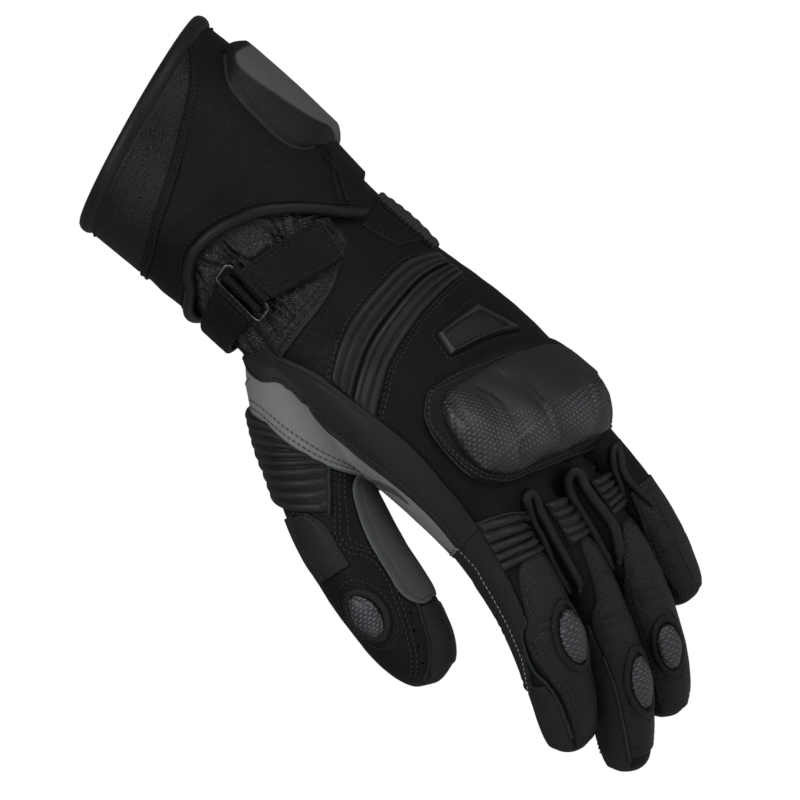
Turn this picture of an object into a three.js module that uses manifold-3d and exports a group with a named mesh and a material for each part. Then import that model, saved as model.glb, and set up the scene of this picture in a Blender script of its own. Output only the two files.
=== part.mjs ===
import * as THREE from 'three';
import Module from 'manifold-3d';
import { mergeVertices } from 'three/addons/utils/BufferGeometryUtils.js';

// A motorcycle glove for the left hand, held as if worn. Millimetres. The cuff opens
// towards +Z, the fingers point towards -Z, the back of the hand faces -Y and the thumb
// lies on the -X side.

// Driving sizes of the sleeve: cuff, wrist and palm.
const cuffLength = 78;
const palmLength = 97;
const webLength = 24;
const cuffWidth = 86;
const cuffDepth = 78;
const wristWidth = 78;
const wristDepth = 67;
const palmWidth = 97;
const palmDepth = 43;
const mouthSlant = 8.2;
const slantTurn = 34;

// Driving sizes of the digits.
const indexLength = 102;
const middleLength = 119;
const ringLength = 115;
const littleLength = 91;
const thumbLength = 139;
const thumbWidth = 33;
const fingerDepth = 24;
const fingerGap = 0.6;
const thumbDrop = 7;

// Leather, layers and trims.
const wall = 1.8;
const seatGap = 0.45;
const pieceGap = 0.3;
const leather = 1.2;
const thinLeather = 0.8;
const shirringHeight = 1.1;
const strapThickness = 1.8;
const ribHeight = 1.5;
const bindingWidth = 4.4;
const bindingThickness = 3.8;
const bandSetback = 1.2;
const pipingRadius = 1.6;
const ridgeRadius = 1.7;
const ridgeWidth = 3.9;
const ringWire = 0.75;
const padHeight = 3.4;
const badgeHeight = 2.2;
const badgeBevel = 0.8;
const borderHeight = 1.8;
const guardRim = 1.2;
const guardGap = 0.6;
const bumpHeight = 4.8;
const sliderHeight = 2.4;
const meshBulge = 1.6;
const flapUnderlap = 5.5;

const sleeveSides = 24;
const digitSides = 12;

const wasm = await Module();
wasm.setup();

const degrees = THREE.MathUtils.degToRad;
const mix = THREE.MathUtils.lerp;
const clamp = THREE.MathUtils.clamp;

// Value of one column of a table whose rows start with their station, eased between rows.
function column(rows, index, station) {
  const last = rows.length - 1;
  let k = 0;
  while (k < last - 1 && station > rows[k + 1][0]) k += 1;
  const [a, b] = [rows[k], rows[k + 1]];
  const span = b[0] - a[0];
  const slope = (j) => {
    const [lo, hi] = [rows[Math.max(j - 1, 0)], rows[Math.min(j + 1, last)]];
    return (hi[index] - lo[index]) / (hi[0] - lo[0]);
  };
  const s = clamp((station - a[0]) / span, 0, 1);
  const rise = s * s * (3 - 2 * s);
  const start = s * (1 - s) * (1 - s) * span * slope(k);
  const end = s * s * (1 - s) * span * slope(k + 1);
  return a[index] + (b[index] - a[index]) * rise + start - end;
}

const rounded = (value, power) => Math.sign(value) * Math.abs(value) ** power;

// A surface answers (station, turn, lift): station runs down the limb, turn goes round it
// in degrees from its back, and lift stands off it along its normal.
function surface(place) {
  const step = 0.004;
  return (station, turn, lift = 0) => {
    const spot = place(station, turn);
    if (lift === 0) return spot;
    const along = place(station + step, turn).sub(place(station - step, turn));
    const round = place(station, turn + 1).sub(place(station, turn - 1));
    return spot.addScaledVector(round.cross(along).normalize(), lift);
  };
}

// Sections of the sleeve. Station 0 is the cuff mouth, 1 the wrist, 2 the knuckles and 3
// the webs between the fingers.
const sleeveRows = [
  // station, width, depth, shift to the palm, squareness
  [-0.12, cuffWidth, cuffDepth, 0, 2],
  [0, cuffWidth, cuffDepth, 0, 2],
  [0.35, cuffWidth * 0.985, cuffDepth * 0.985, 0, 2],
  [0.7, cuffWidth * 0.92, cuffDepth * 0.92, cuffDepth * 0.01, 2],
  [1, wristWidth, wristDepth, wristDepth * 0.045, 2.05],
  [1.3, wristWidth * 1.08, wristDepth * 0.86, wristDepth * 0.07, 2.15],
  [1.6, palmWidth * 0.985, palmDepth * 1.12, palmDepth * 0.12, 2.3],
  [1.85, palmWidth, palmDepth, palmDepth * 0.15, 2.4],
  [2, palmWidth * 0.985, palmDepth * 0.95, palmDepth * 0.2, 2.4],
  [2.4, palmWidth * 0.96, palmDepth * 0.84, palmDepth * 0.28, 2.4],
  [2.75, palmWidth * 0.93, palmDepth * 0.68, palmDepth * 0.34, 2.4],
  [2.93, palmWidth * 0.88, palmDepth * 0.42, palmDepth * 0.38, 2.3],
  [3, palmWidth * 0.8, palmDepth * 0.2, palmDepth * 0.4, 2.2],
];

// How far down the sleeve a station lies.
function reach(station) {
  const inCuff = Math.min(station, 1) * cuffLength;
  const inPalm = clamp(station - 1, 0, 1) * palmLength;
  return inCuff + inPalm + Math.max(station - 2, 0) * webLength;
}

const sleeve = surface((station, turn) => {
  const [width, depth, shift, square] = [1, 2, 3, 4].map((k) => column(sleeveRows, k, station));
  const round = degrees(turn);
  return new THREE.Vector3(
    (-width / 2) * rounded(Math.sin(round), 2 / square),
    shift - (depth / 2) * rounded(Math.cos(round), 2 / square),
    -reach(station),
  );
});

// Sections of a finger, as shares of its width and depth.
const fingerRows = [
  // station, width, depth
  [0, 0.9, 1.15],
  [0.12, 0.97, 1.16],
  [0.25, 1, 1.12],
  [0.4, 1, 1.05],
  [0.55, 1, 1],
  [0.7, 0.98, 0.95],
  [0.82, 0.95, 0.88],
  [0.91, 0.86, 0.77],
  [0.965, 0.66, 0.58],
  [0.99, 0.4, 0.34],
  [1, 0.08, 0.08],
];
const thumbRows = [
  // station, width, depth
  [0, 0.7, 0.7],
  [0.12, 0.88, 0.88],
  [0.25, 1.02, 1.02],
  [0.45, 1.04, 1.04],
  [0.6, 1, 1],
  [0.75, 0.99, 0.96],
  [0.86, 0.94, 0.88],
  [0.93, 0.8, 0.72],
  [0.97, 0.6, 0.54],
  [0.99, 0.4, 0.34],
  [1, 0.08, 0.08],
];

const knuckleSpacing = palmWidth * 0.226;
const fingerWidth = knuckleSpacing - fingerGap;
const knuckleLine = cuffLength + palmLength;

// Each digit is a chain of three bones. Curl bends a bone to the palm and lean turns it
// to the thumb side, both in degrees from the arm's own line.
const digits = {
  index: {
    root: [-1.5 * knuckleSpacing, palmDepth * 0.2, palmLength * 0.01 - knuckleLine],
    length: indexLength,
    width: fingerWidth,
    depth: fingerDepth,
    bones: [[0.45, 20, 3], [0.3, 36, 5], [0.25, 46, 7]],
    rows: fingerRows,
    cut: 0.29,
  },
  middle: {
    root: [-0.5 * knuckleSpacing, palmDepth * 0.19, -palmLength * 0.03 - knuckleLine],
    length: middleLength,
    width: fingerWidth,
    depth: fingerDepth,
    bones: [[0.45, 20, 3], [0.3, 36, 5], [0.25, 46, 7]],
    rows: fingerRows,
    cut: 0.26,
  },
  ring: {
    root: [0.5 * knuckleSpacing, palmDepth * 0.19, -palmLength * 0.01 - knuckleLine],
    length: ringLength,
    width: fingerWidth,
    depth: fingerDepth * 0.97,
    bones: [[0.45, 15, 3], [0.3, 30, 4], [0.25, 42, 5]],
    rows: fingerRows,
    cut: 0.26,
  },
  little: {
    root: [1.46 * knuckleSpacing, palmDepth * 0.2, palmLength * 0.05 - knuckleLine],
    length: littleLength,
    width: fingerWidth * 0.94,
    depth: fingerDepth * 0.88,
    bones: [[0.45, 10, 2], [0.3, 20, 3], [0.25, 30, 3]],
    rows: fingerRows,
    cut: 0.36,
  },
  thumb: {
    root: [-palmWidth * 0.225, palmDepth * 0.4, -thumbDrop - cuffLength],
    length: thumbLength,
    width: thumbWidth,
    depth: thumbWidth,
    bones: [[0.31, 17, 33], [0.32, 13, 19], [0.37, 12, 10]],
    rows: thumbRows,
    cut: 0.1,
    back: [-1, -0.1, 0],
  },
};

// The middle line of a digit and its back, side and tangent at a station.
function frameOf({ root, length, bones, back = [0, -1, 0] }) {
  const joints = [new THREE.Vector3(...root)];
  for (const [share, curl, lean] of bones) {
    const heading = new THREE.Vector3(-Math.tan(degrees(lean)), Math.tan(degrees(curl)), -1);
    const last = joints[joints.length - 1];
    joints.push(last.clone().addScaledVector(heading.normalize(), length * share));
  }
  const line = new THREE.CatmullRomCurve3(joints, false, 'centripetal');
  const up = new THREE.Vector3(...back).normalize();
  return (station) => {
    const inside = clamp(station, 0, 1);
    const along = line.getTangentAt(inside);
    const centre = line.getPointAt(inside).addScaledVector(along, (station - inside) * length);
    const above = up.clone().addScaledVector(along, -up.dot(along)).normalize();
    return { centre, along, above, side: new THREE.Vector3().crossVectors(above, along) };
  };
}

function digitSurface(digit) {
  const frame = frameOf(digit);
  return surface((station, turn) => {
    const { centre, above, side } = frame(station);
    const [width, depth] = [1, 2].map((k) => column(digit.rows, k, clamp(station, 0, 1)));
    const round = degrees(turn);
    return centre
      .addScaledVector(side, ((-width * digit.width) / 2) * Math.sin(round))
      .addScaledVector(above, ((depth * digit.depth) / 2) * Math.cos(round));
  });
}

const fingers = Object.fromEntries(
  Object.entries(digits).map(([name, digit]) => [name, digitSurface(digit)]),
);

// Stations of one limb kept as rings, to tell how far a point stands outside of it.
function ringsOf(place, from, to, count, squareness) {
  return Array.from({ length: count }, (_, k) => {
    const station = mix(from, to, k / (count - 1));
    const [left, right] = [place(station, 90), place(station, -90)];
    const [top, under] = [place(station, 0), place(station, 180)];
    const across = left.clone().sub(right);
    const deep = top.clone().sub(under);
    return {
      centre: left.add(right).multiplyScalar(0.5),
      side: across.clone().normalize(),
      above: deep.clone().normalize(),
      along: across.clone().cross(deep).normalize(),
      halves: [across.length() / 2, deep.length() / 2],
      square: squareness(station),
    };
  });
}

const limbs = [sleeve, ...Object.values(fingers)];
const limbRings = [
  ringsOf(sleeve, -0.1, 3, 60, (station) => column(sleeveRows, 4, station)),
  ...Object.values(fingers).map((place) => ringsOf(place, 0, 1, 40, () => 2)),
];

// How far a point stands outside one limb, less than nothing when it is inside.
function outside(rings, point) {
  let best = Infinity;
  for (let k = 0; k < rings.length - 1; k += 1) {
    const [a, b] = [rings[k], rings[k + 1]];
    const before = point.clone().sub(a.centre).dot(a.along);
    const after = point.clone().sub(b.centre).dot(b.along);
    if (before * after > 0) continue;
    const share = before / (before - after || 1);
    const spoke = point.clone().sub(a.centre.clone().lerp(b.centre, share));
    const p = Math.abs(spoke.dot(a.side)) / mix(a.halves[0], b.halves[0], share);
    const q = Math.abs(spoke.dot(a.above)) / mix(a.halves[1], b.halves[1], share);
    const ratio = (p ** a.square + q ** a.square) ** (1 / a.square);
    best = Math.min(best, spoke.length() * (1 - 1 / Math.max(ratio, 0.01)));
  }
  return best;
}

// Raises a point along a direction until it clears every limb but those skipped.
function settled(point, direction, skipped, clearance) {
  const step = 0.2;
  const others = limbRings.filter((rings) => !skipped.includes(rings));
  for (let k = 0; k < 100; k += 1) {
    if (!others.some((rings) => outside(rings, point) < clearance)) return point;
    point.addScaledVector(direction, step);
  }
  return point;
}

// A closed body from its points and triangles, turned so that its faces point out.
function body(points, faces) {
  let volume = 0;
  for (const [a, b, c] of faces) {
    volume += points[a].dot(points[b].clone().cross(points[c]));
  }
  const turned = volume > 0 ? faces : faces.map(([a, b, c]) => [a, c, b]);
  const geometry = new THREE.BufferGeometry();
  geometry.setAttribute(
    'position',
    new THREE.Float32BufferAttribute(points.flatMap((p) => [p.x, p.y, p.z]), 3),
  );
  geometry.setIndex(turned.flat());
  return mergeVertices(geometry, 1e-5);
}

function quad(faces, a, b, c, d) {
  faces.push([a, b, c], [a, c, d]);
}

// A tube of leather between an outer and an inner grid of rings.
function tube(outer, inner) {
  const [rows, sides] = [outer.length, outer[0].length];
  const points = [...outer.flat(), ...inner.flat()];
  const faces = [];
  const out = (r, c) => r * sides + (c % sides);
  const inn = (r, c) => rows * sides + out(r, c);
  for (let c = 0; c < sides; c += 1) {
    for (let r = 0; r < rows - 1; r += 1) {
      quad(faces, out(r, c), out(r, c + 1), out(r + 1, c + 1), out(r + 1, c));
      quad(faces, inn(r, c), inn(r + 1, c), inn(r + 1, c + 1), inn(r, c + 1));
    }
    quad(faces, out(0, c), inn(0, c), inn(0, c + 1), out(0, c + 1));
    quad(faces, out(rows - 1, c), out(rows - 1, c + 1), inn(rows - 1, c + 1), inn(rows - 1, c));
  }
  return body(points, faces);
}

// A filled tube, closed at both ends to a middle point.
function plug(rings) {
  const [rows, sides] = [rings.length, rings[0].length];
  const middle = (ring) =>
    ring.reduce((sum, p) => sum.add(p), new THREE.Vector3()).divideScalar(sides);
  const points = [...rings.flat(), middle(rings[0]), middle(rings[rows - 1])];
  const faces = [];
  const at = (r, c) => r * sides + (c % sides);
  for (let c = 0; c < sides; c += 1) {
    for (let r = 0; r < rows - 1; r += 1) {
      quad(faces, at(r, c), at(r, c + 1), at(r + 1, c + 1), at(r + 1, c));
    }
    faces.push([rows * sides, at(0, c + 1), at(0, c)]);
    faces.push([rows * sides + 1, at(rows - 1, c), at(rows - 1, c + 1)]);
  }
  return body(points, faces);
}

const turns = (sides) => Array.from({ length: sides }, (_, k) => (360 * k) / sides);
const evenly = (from, to, count) =>
  Array.from({ length: count }, (_, k) => mix(from, to, k / (count - 1)));

function ringsAt(place, stations, sides, lift) {
  return stations.map((station) => turns(sides).map((turn) => place(station, turn, lift)));
}

function toSolid(geometry) {
  return new wasm.Manifold(
    new wasm.Mesh({
      numProp: 3,
      vertProperties: Float32Array.from(geometry.attributes.position.array),
      triVerts: Uint32Array.from(geometry.index.array),
    }),
  );
}

function toGeometry(solid) {
  const mesh = solid.getMesh();
  const geometry = new THREE.BufferGeometry();
  geometry.setAttribute('position', new THREE.Float32BufferAttribute(mesh.vertProperties, 3));
  geometry.setIndex([...mesh.triVerts]);
  return geometry;
}

// The piece with the most volume, without the crumbs that a cut leaves.
function largest(solid) {
  const pieces = solid.decompose();
  return pieces.reduce((best, piece) => (piece.volume() > best.volume() ? piece : best));
}

// A piece of leather laid on a surface. Each row of its table has two ends, and the rows
// follow each other down the piece. Relief raises its face, from 0 at a flat rim.
function patch(place, table, shape) {
  const { rows, cols, lift = seatGap, thickness = leather, relief, through = place } = shape;
  const skipped = [place, through].map((limb) => limbRings[limbs.indexOf(limb)]);
  const stretch = table.map((row, k) => [k / (table.length - 1), ...row]);
  const liftAt = typeof lift === 'function' ? lift : () => lift;
  const [under, over] = [[], []];
  for (let r = 0; r < rows; r += 1) {
    const v = r / (rows - 1);
    const [s0, t0, s1, t1] = [1, 2, 3, 4].map((k) => column(stretch, k, v));
    for (let c = 0; c < cols; c += 1) {
      const u = c / (cols - 1);
      const [station, turn] = [mix(s0, s1, u), mix(t0, t1, u)];
      const high = liftAt(station, turn);
      const low = place(station, turn, high);
      const up = place(station, turn, high + 1).sub(low).normalize();
      settled(low, up, skipped, high);
      const raise = thickness + (relief ? relief(u, v) : 0);
      under.push(low);
      over.push(low.clone().addScaledVector(up, raise));
    }
  }
  const faces = [];
  const top = (r, c) => r * cols + c;
  const low = (r, c) => rows * cols + top(r, c);
  for (let r = 0; r < rows - 1; r += 1) {
    for (let c = 0; c < cols - 1; c += 1) {
      quad(faces, top(r, c), top(r, c + 1), top(r + 1, c + 1), top(r + 1, c));
      quad(faces, low(r, c), low(r + 1, c), low(r + 1, c + 1), low(r, c + 1));
    }
    quad(faces, top(r, 0), top(r + 1, 0), low(r + 1, 0), low(r, 0));
    quad(faces, top(r, cols - 1), low(r, cols - 1), low(r + 1, cols - 1), top(r + 1, cols - 1));
  }
  for (let c = 0; c < cols - 1; c += 1) {
    quad(faces, top(0, c), low(0, c), low(0, c + 1), top(0, c + 1));
    quad(faces, top(rows - 1, c), top(rows - 1, c + 1), low(rows - 1, c + 1), low(rows - 1, c));
  }
  return body([...over, ...under], faces);
}

// A round or flattened roll along points, each with its own outward direction.
function roll(spots, high, wide, sides, closed) {
  const count = spots.length;
  const points = [];
  spots.forEach(({ point, up }, k) => {
    const before = spots[closed ? (k - 1 + count) % count : Math.max(k - 1, 0)].point;
    const after = spots[closed ? (k + 1) % count : Math.min(k + 1, count - 1)].point;
    const along = after.clone().sub(before).normalize();
    const out = up.clone().addScaledVector(along, -up.dot(along)).normalize();
    const across = along.clone().cross(out);
    for (const turn of turns(sides)) {
      const spot = point.clone().addScaledVector(out, high * Math.cos(degrees(turn)));
      points.push(spot.addScaledVector(across, wide * Math.sin(degrees(turn))));
    }
  });
  const faces = [];
  const at = (r, c) => (r % count) * sides + (c % sides);
  for (let r = 0; r < (closed ? count : count - 1); r += 1) {
    for (let c = 0; c < sides; c += 1) {
      quad(faces, at(r, c), at(r, c + 1), at(r + 1, c + 1), at(r + 1, c));
    }
  }
  for (let c = 1; !closed && c < sides - 1; c += 1) {
    faces.push([0, at(0, c + 1), at(0, c)]);
    faces.push([at(count - 1, 0), at(count - 1, c), at(count - 1, c + 1)]);
  }
  return body(points, faces);
}

function spotOn(place, station, turn, lift) {
  const point = place(station, turn, lift);
  const up = place(station, turn, lift + 1).sub(point).normalize();
  return { point, up };
}

// Colours of the leathers, the hard parts and the wire.
const finishes = {
  black_leather: { color: 0x1c1b1c, roughness: 0.55, metalness: 0 },
  trim_leather: { color: 0x25272a, roughness: 0.45, metalness: 0 },
  grey_leather: { color: 0x696b67, roughness: 0.7, metalness: 0 },
  web_leather: { color: 0x3c3e3d, roughness: 0.8, metalness: 0 },
  stretch_knit: { color: 0x1e1e20, roughness: 0.85, metalness: 0 },
  carbon: { color: 0x3a3a3e, roughness: 0.35, metalness: 0.1 },
  pad_rubber: { color: 0x545456, roughness: 0.6, metalness: 0 },
  dark_wire: { color: 0x55565a, roughness: 0.3, metalness: 1 },
};
const materials = Object.fromEntries(
  Object.entries(finishes).map(([name, finish]) => [
    name,
    new THREE.MeshStandardMaterial({ name, ...finish }),
  ]),
);

const glove = new THREE.Group();
const parts = {
  shell: new THREE.Group(),
  cuff: new THREE.Group(),
  back: new THREE.Group(),
  digits: new THREE.Group(),
};
Object.values(parts).forEach((group) => glove.add(group));

function add(group, name, geometry, finish) {
  geometry.computeVertexNormals();
  const mesh = new THREE.Mesh(geometry, materials[finish]);
  mesh.name = name;
  parts[group].add(mesh);
}

// The cuff mouth is cut at a slant, longest on the outer back of the arm.
const mouth = (turn) =>
  0.007 - (mouthSlant / cuffLength) * Math.cos(degrees(turn + slantTurn));

// Lower edge of the cuff's flap, round the wrist.
const flapRows = [
  // turn, station
  [-180, 0.8],
  [-120, 0.86],
  [-60, 0.93],
  [-30, 0.98],
  [-8, 1.04],
  [4, 0.975],
  [24, 0.834],
  [41, 0.735],
  [57, 0.671],
  [74, 0.648],
  [95, 0.671],
  [116, 0.735],
  [180, 0.8],
];
const wrapped = (turn) => ((turn + 540) % 360) - 180;
const flap = (turn) => column(flapRows, 1, wrapped(turn));
const flapLift = wall + seatGap;
const cuffTop = (turn) => mouth(turn) + (bindingWidth + pieceGap) / cuffLength;
// The cuff stands off the wrist towards the edge of its flap.
const cuffLift = (station, turn) => {
  const share = (station - cuffTop(turn)) / (flap(turn) - cuffTop(turn));
  return flapLift * clamp(share / 0.75, 0, 1) ** 2;
};
const onCuff = (station, turn) => cuffLift(station, turn) + seatGap;

function cuffShell() {
  const rims = 7;
  const grid = (inset) =>
    evenly(0, 1, rims).map((share) =>
      turns(sleeveSides).map((turn) => {
        const station = mix(cuffTop(turn), flap(turn), share);
        return sleeve(station, turn, cuffLift(station, turn) - inset);
      }),
    );
  return tube(grid(0), grid(wall));
}

function cuffBinding() {
  const spots = turns(24).map((turn) => {
    const station = mouth(turn) + bindingWidth / 2 / cuffLength;
    return spotOn(sleeve, station, turn, -wall / 2);
  });
  return roll(spots, bindingThickness / 2, bindingWidth / 2, 6, true);
}

// The perforated band between the binding and a slanting seam.
const bandRows = [
  // turn, station of the seam
  [-8, 0.045],
  [21, 0.195],
  [42, 0.316],
  [64, 0.403],
  [104, 0.449],
  [116, 0.454],
  [180, 0.44],
  [250, 0.3],
  [275, 0.15],
];
function cuffBand() {
  const table = evenly(-6, 270, 15).map((turn) => [
    mouth(turn) + (bindingWidth + bandSetback) / cuffLength,
    turn,
    column(bandRows, 1, turn),
    turn,
  ]);
  return patch(sleeve, table, { rows: 20, cols: 4, lift: onCuff });
}

function flapPiping() {
  const spots = evenly(-9, 196, 22).map((turn) => {
    const station = flap(turn) + (pipingRadius + pieceGap) / cuffLength;
    return spotOn(sleeve, station, turn, pipingRadius + seatGap);
  });
  return roll(spots, pipingRadius, pipingRadius, 6, false);
}

// The protector on the outer side of the cuff, a low roof with a ridge.
function cuffPad() {
  const table = [
    // station, turn on the back side, station, turn on the palm side
    [0.2, -3, 0.16, -74],
    [0.34, 1, 0.3, -80],
    [0.5, -1, 0.48, -82],
    [0.68, -6, 0.67, -78],
    [0.79, -20, 0.79, -64],
  ];
  const roof = (u, v) => Math.min(u / 0.3, (1 - u) / 0.45, v / 0.16, (1 - v) / 0.16, 1);
  return patch(sleeve, table, {
    rows: 9,
    cols: 9,
    lift: onCuff,
    thickness: leather,
    relief: (u, v) => padHeight * Math.max(roof(u, v), 0),
  });
}

// Gathered leather on the wrist between the flap and a cross seam.
const shirringSeamRows = [
  // turn, station
  [12, 1.09],
  [20, 1.132],
  [50, 1.165],
  [94, 1.17],
  [108, 1.16],
];
const flapFoot = (turn) => flap(turn) + (2 * pipingRadius + 2 * pieceGap) / cuffLength;
function wristShirring() {
  const table = evenly(13, 106, 11).map((turn) => [
    flapFoot(turn) + 0.012,
    turn,
    column(shirringSeamRows, 1, turn),
    turn,
  ]);
  const gathers = (u, v) => Math.abs(Math.sin(Math.PI * (9 * v + 0.8 * Math.sin(5 * u))));
  return patch(sleeve, table, {
    rows: 19,
    cols: 5,
    thickness: thinLeather,
    relief: (u, v) => shirringHeight * gathers(u, v) * Math.min(1, 6 * u, 6 * (1 - u)),
  });
}

const strapLift = 2 * seatGap + thinLeather + shirringHeight;
function strapTab() {
  const table = [
    // upper station, turn, lower station, turn
    [0.85, 67, 1.035, 63.5],
    [0.9, 43, 1.09, 43],
    [0.965, 17, 1.12, 20],
  ];
  return patch(sleeve, table, { rows: 9, cols: 4, lift: strapLift, thickness: strapThickness });
}

function wristStrap() {
  const table = [
    // upper station, turn, lower station, turn
    [0.84, 96, 1.03, 93],
    [0.855, 120, 1.02, 120],
    [0.885, 150, 1.01, 150],
    [0.9, 190, 1, 190],
  ];
  return patch(sleeve, table, { rows: 12, cols: 4, lift: strapLift, thickness: strapThickness });
}

// A rectangle of wire that joins the strap to its tab.
function strapRing() {
  const [upper, lower, left, right] = [0.805, 1.07, 92, 70.5];
  const corner = 0.14;
  const spots = [];
  const sides = [
    [upper, left, upper, right],
    [upper, right, lower, right - 3],
    [lower, right - 3, lower, left - 3],
    [lower, left - 3, upper, left],
  ];
  for (const [s0, t0, s1, t1] of sides) {
    for (const share of [corner, 0.5, 1 - corner]) {
      const [station, turn] = [mix(s0, s1, share), mix(t0, t1, share)];
      spots.push(spotOn(sleeve, station, turn, strapLift + strapThickness / 2));
    }
  }
  return roll(spots, ringWire, ringWire, 6, true);
}

// The stretch knit on the outer side of the wrist.
function outerWristPanel() {
  const table = [
    // station, turn on the back side, station, turn on the palm side
    [1.06, -31, 1.03, -94],
    [1.18, -34, 1.17, -98],
    [1.33, -37, 1.32, -94],
  ];
  const bulge = (u, v) => meshBulge * Math.sin(Math.PI * u) * Math.sin(Math.PI * v);
  return patch(sleeve, table, { rows: 7, cols: 8, relief: bulge });
}

function outerWristFlap() {
  const table = [
    // station, turn on the thumb side, station, turn on the outer side
    [1.105, -3, 1.09, -24],
    [1.18, -8, 1.18, -28],
    [1.25, -13, 1.28, -32],
  ];
  return patch(sleeve, table, { rows: 5, cols: 4 });
}

// Rows of soft ribs across a patch, one wave for each.
const ribSeat = seatGap * 1.6;
const ribbed = (count, along) => Math.abs(Math.sin(Math.PI * count * along)) ** 0.7;

function backRibs() {
  const table = [
    // upper station, turn, lower station, turn
    [1.345, 74, 1.565, 64],
    [1.305, 60, 1.55, 50],
    [1.29, 29, 1.53, 30],
    [1.285, 0, 1.49, 5],
    [1.31, -22, 1.465, -16],
    [1.37, -33, 1.45, -32],
  ];
  return patch(sleeve, table, {
    rows: 9,
    cols: 13,
    lift: ribSeat,
    thickness: thinLeather,
    relief: (u) => ribHeight * ribbed(6, u),
  });
}

function badgePlate() {
  const table = [
    // station, turn on the thumb side, station, turn on the outer side
    [1.575, 6, 1.585, -15],
    [1.645, 7, 1.7, -27],
  ];
  const bevel = (u, v) => (Math.min(u, v, 1 - u, 1 - v) > 0.05 ? badgeBevel : 0);
  const thickness = badgeHeight - badgeBevel;
  return patch(sleeve, table, { rows: 5, cols: 6, thickness, relief: bevel });
}

// Outline of the knuckle guard, row by row from the thumb side to the outer side. Grow
// widens it for the padded border. The guard lies on the border, which lies on the hand.
const borderWidth = 4.5;
const borderLift = 3 * seatGap;
const guardLift = borderLift + borderHeight + guardGap;
function guardTable(grow) {
  const rows = [
    // proximal station, distal station, turn
    [1.89, 2.03, 42],
    [1.81, 2.22, 37],
    [1.75, 2.4, 26],
    [1.73, 2.55, 12],
    [1.75, 2.7, -4],
    [1.8, 2.78, -22],
    [1.865, 2.76, -40],
    [1.93, 2.62, -57],
    [1.985, 2.3, -66],
  ];
  const [middleTurn, spread, turnsPerMm] = [-12, 54, 0.9];
  return rows.map(([near, far, turn]) => {
    const wide = turn + (grow * turnsPerMm * (turn - middleTurn)) / spread;
    return [near - grow / palmLength, wide, far + (grow * 0.15) / webLength, wide];
  });
}

function guardBorder() {
  const rim = (u, v) => Math.min(1, 5 * Math.min(u, v, 1 - u, 1 - v));
  return patch(sleeve, guardTable(borderWidth), {
    rows: 13,
    cols: 8,
    lift: borderLift,
    thickness: borderHeight / 2,
    relief: (u, v) => (borderHeight / 2) * rim(u, v),
  });
}

// The hard guard: a crowned shell with one lobe over each knuckle.
function knuckleGuard() {
  const lobes = [0.17, 0.4, 0.61, 0.83];
  const lobeHalf = 0.125;
  const lobe = (v) => {
    const away = Math.min(...lobes.map((middle) => Math.abs(v - middle))) / lobeHalf;
    return Math.sqrt(Math.max(1 - away * away, 0));
  };
  const crown = (u, v) => Math.sin(Math.PI * u) ** 0.55 * Math.sin(Math.PI * v) ** 0.45;
  return patch(sleeve, guardTable(0), {
    rows: 17,
    cols: 8,
    lift: guardLift,
    thickness: guardRim,
    relief: (u, v) => bumpHeight * crown(u, v) * mix(0.55, 1, lobe(v)),
  });
}

function sideStrip() {
  const table = [
    // station, turn on the palm side, station, turn on the back side
    [1.2, 98, 1.2, 83],
    [1.4, 94, 1.4, 75],
    [1.57, 91, 1.57, 68],
    [1.8, 89, 1.8, 67],
    [2, 88, 2, 68],
    [2.5, 88, 2.5, 72],
  ];
  return patch(sleeve, table, { rows: 16, cols: 4 });
}

function indexStrip() {
  const table = [
    // station, turn on the palm side, station, turn on the back side
    [0.19, 124, 0.19, 76],
    [0.3, 131, 0.3, 82],
    [0.42, 136, 0.42, 88],
    [0.51, 134, 0.5, 100],
  ];
  return patch(fingers.index, table, { rows: 8, cols: 4 });
}

// The light leather of the palm, from the side strip to the little finger's side.
function palmPanel() {
  const table = [
    // station, turn on the thumb side, station, turn on the outer side
    [1.22, 118, 1.22, 236],
    [1.45, 104, 1.45, 248],
    [1.7, 98, 1.7, 252],
    [2, 97, 2, 256],
    [2.5, 98, 2.5, 258],
  ];
  const panel = patch(sleeve, table, {
    rows: 9,
    cols: 10,
    lift: ribSeat,
    through: fingers.thumb,
  });
  const around = leather + 2 * seatGap + pieceGap;
  const thumbRoot = ringsAt(fingers.thumb, evenly(-0.06, 0.6, 7), digitSides, around);
  return toGeometry(largest(toSolid(panel).subtract(toSolid(plug(thumbRoot)))));
}

// The filled sleeve with a little room around it, which cuts what reaches into it.
function sleeveBlock() {
  const stations = evenly(0.5, 3, 26);
  return toSolid(plug(ringsAt(sleeve, stations, sleeveSides, pieceGap)));
}

function thenarPanel() {
  const table = [
    // station, turn on the rib side, station, turn on the palm side
    [0.215, 6, 0.13, -8],
    [0.26, -14, 0.19, -36],
    [0.31, -34, 0.25, -60],
    [0.37, -53, 0.32, -78],
    [0.43, -70, 0.42, -97],
  ];
  const panel = patch(fingers.thumb, table, { rows: 9, cols: 6 });
  return toGeometry(largest(toSolid(panel).subtract(sleeveBlock())));
}

function fingerRibs(place, table, count) {
  return patch(place, table, {
    rows: count * 2 + 1,
    cols: 5,
    thickness: thinLeather,
    relief: (u, v) => ribHeight * 0.8 * ribbed(count, v) * Math.min(1, 8 * u, 8 * (1 - u)),
  });
}

// An oval slider, blunt at both ends, that stands proud of the finger.
function slider(place, middle, half, turn, spread) {
  const shares = evenly(-0.93, 0.93, 7);
  const table = shares.map((share) => {
    const wide = spread * Math.sqrt(1 - share * share);
    return [middle + half * share, turn + wide, middle + half * share, turn - wide];
  });
  const dome = (u, v) => Math.sqrt(Math.max(1 - (2 * u - 1) ** 2 - (2 * v - 1) ** 2, 0));
  return patch(place, table, {
    rows: 7,
    cols: 5,
    thickness: sliderHeight * 0.45,
    relief: (u, v) => sliderHeight * 0.55 * dome(u, v),
  });
}

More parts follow.
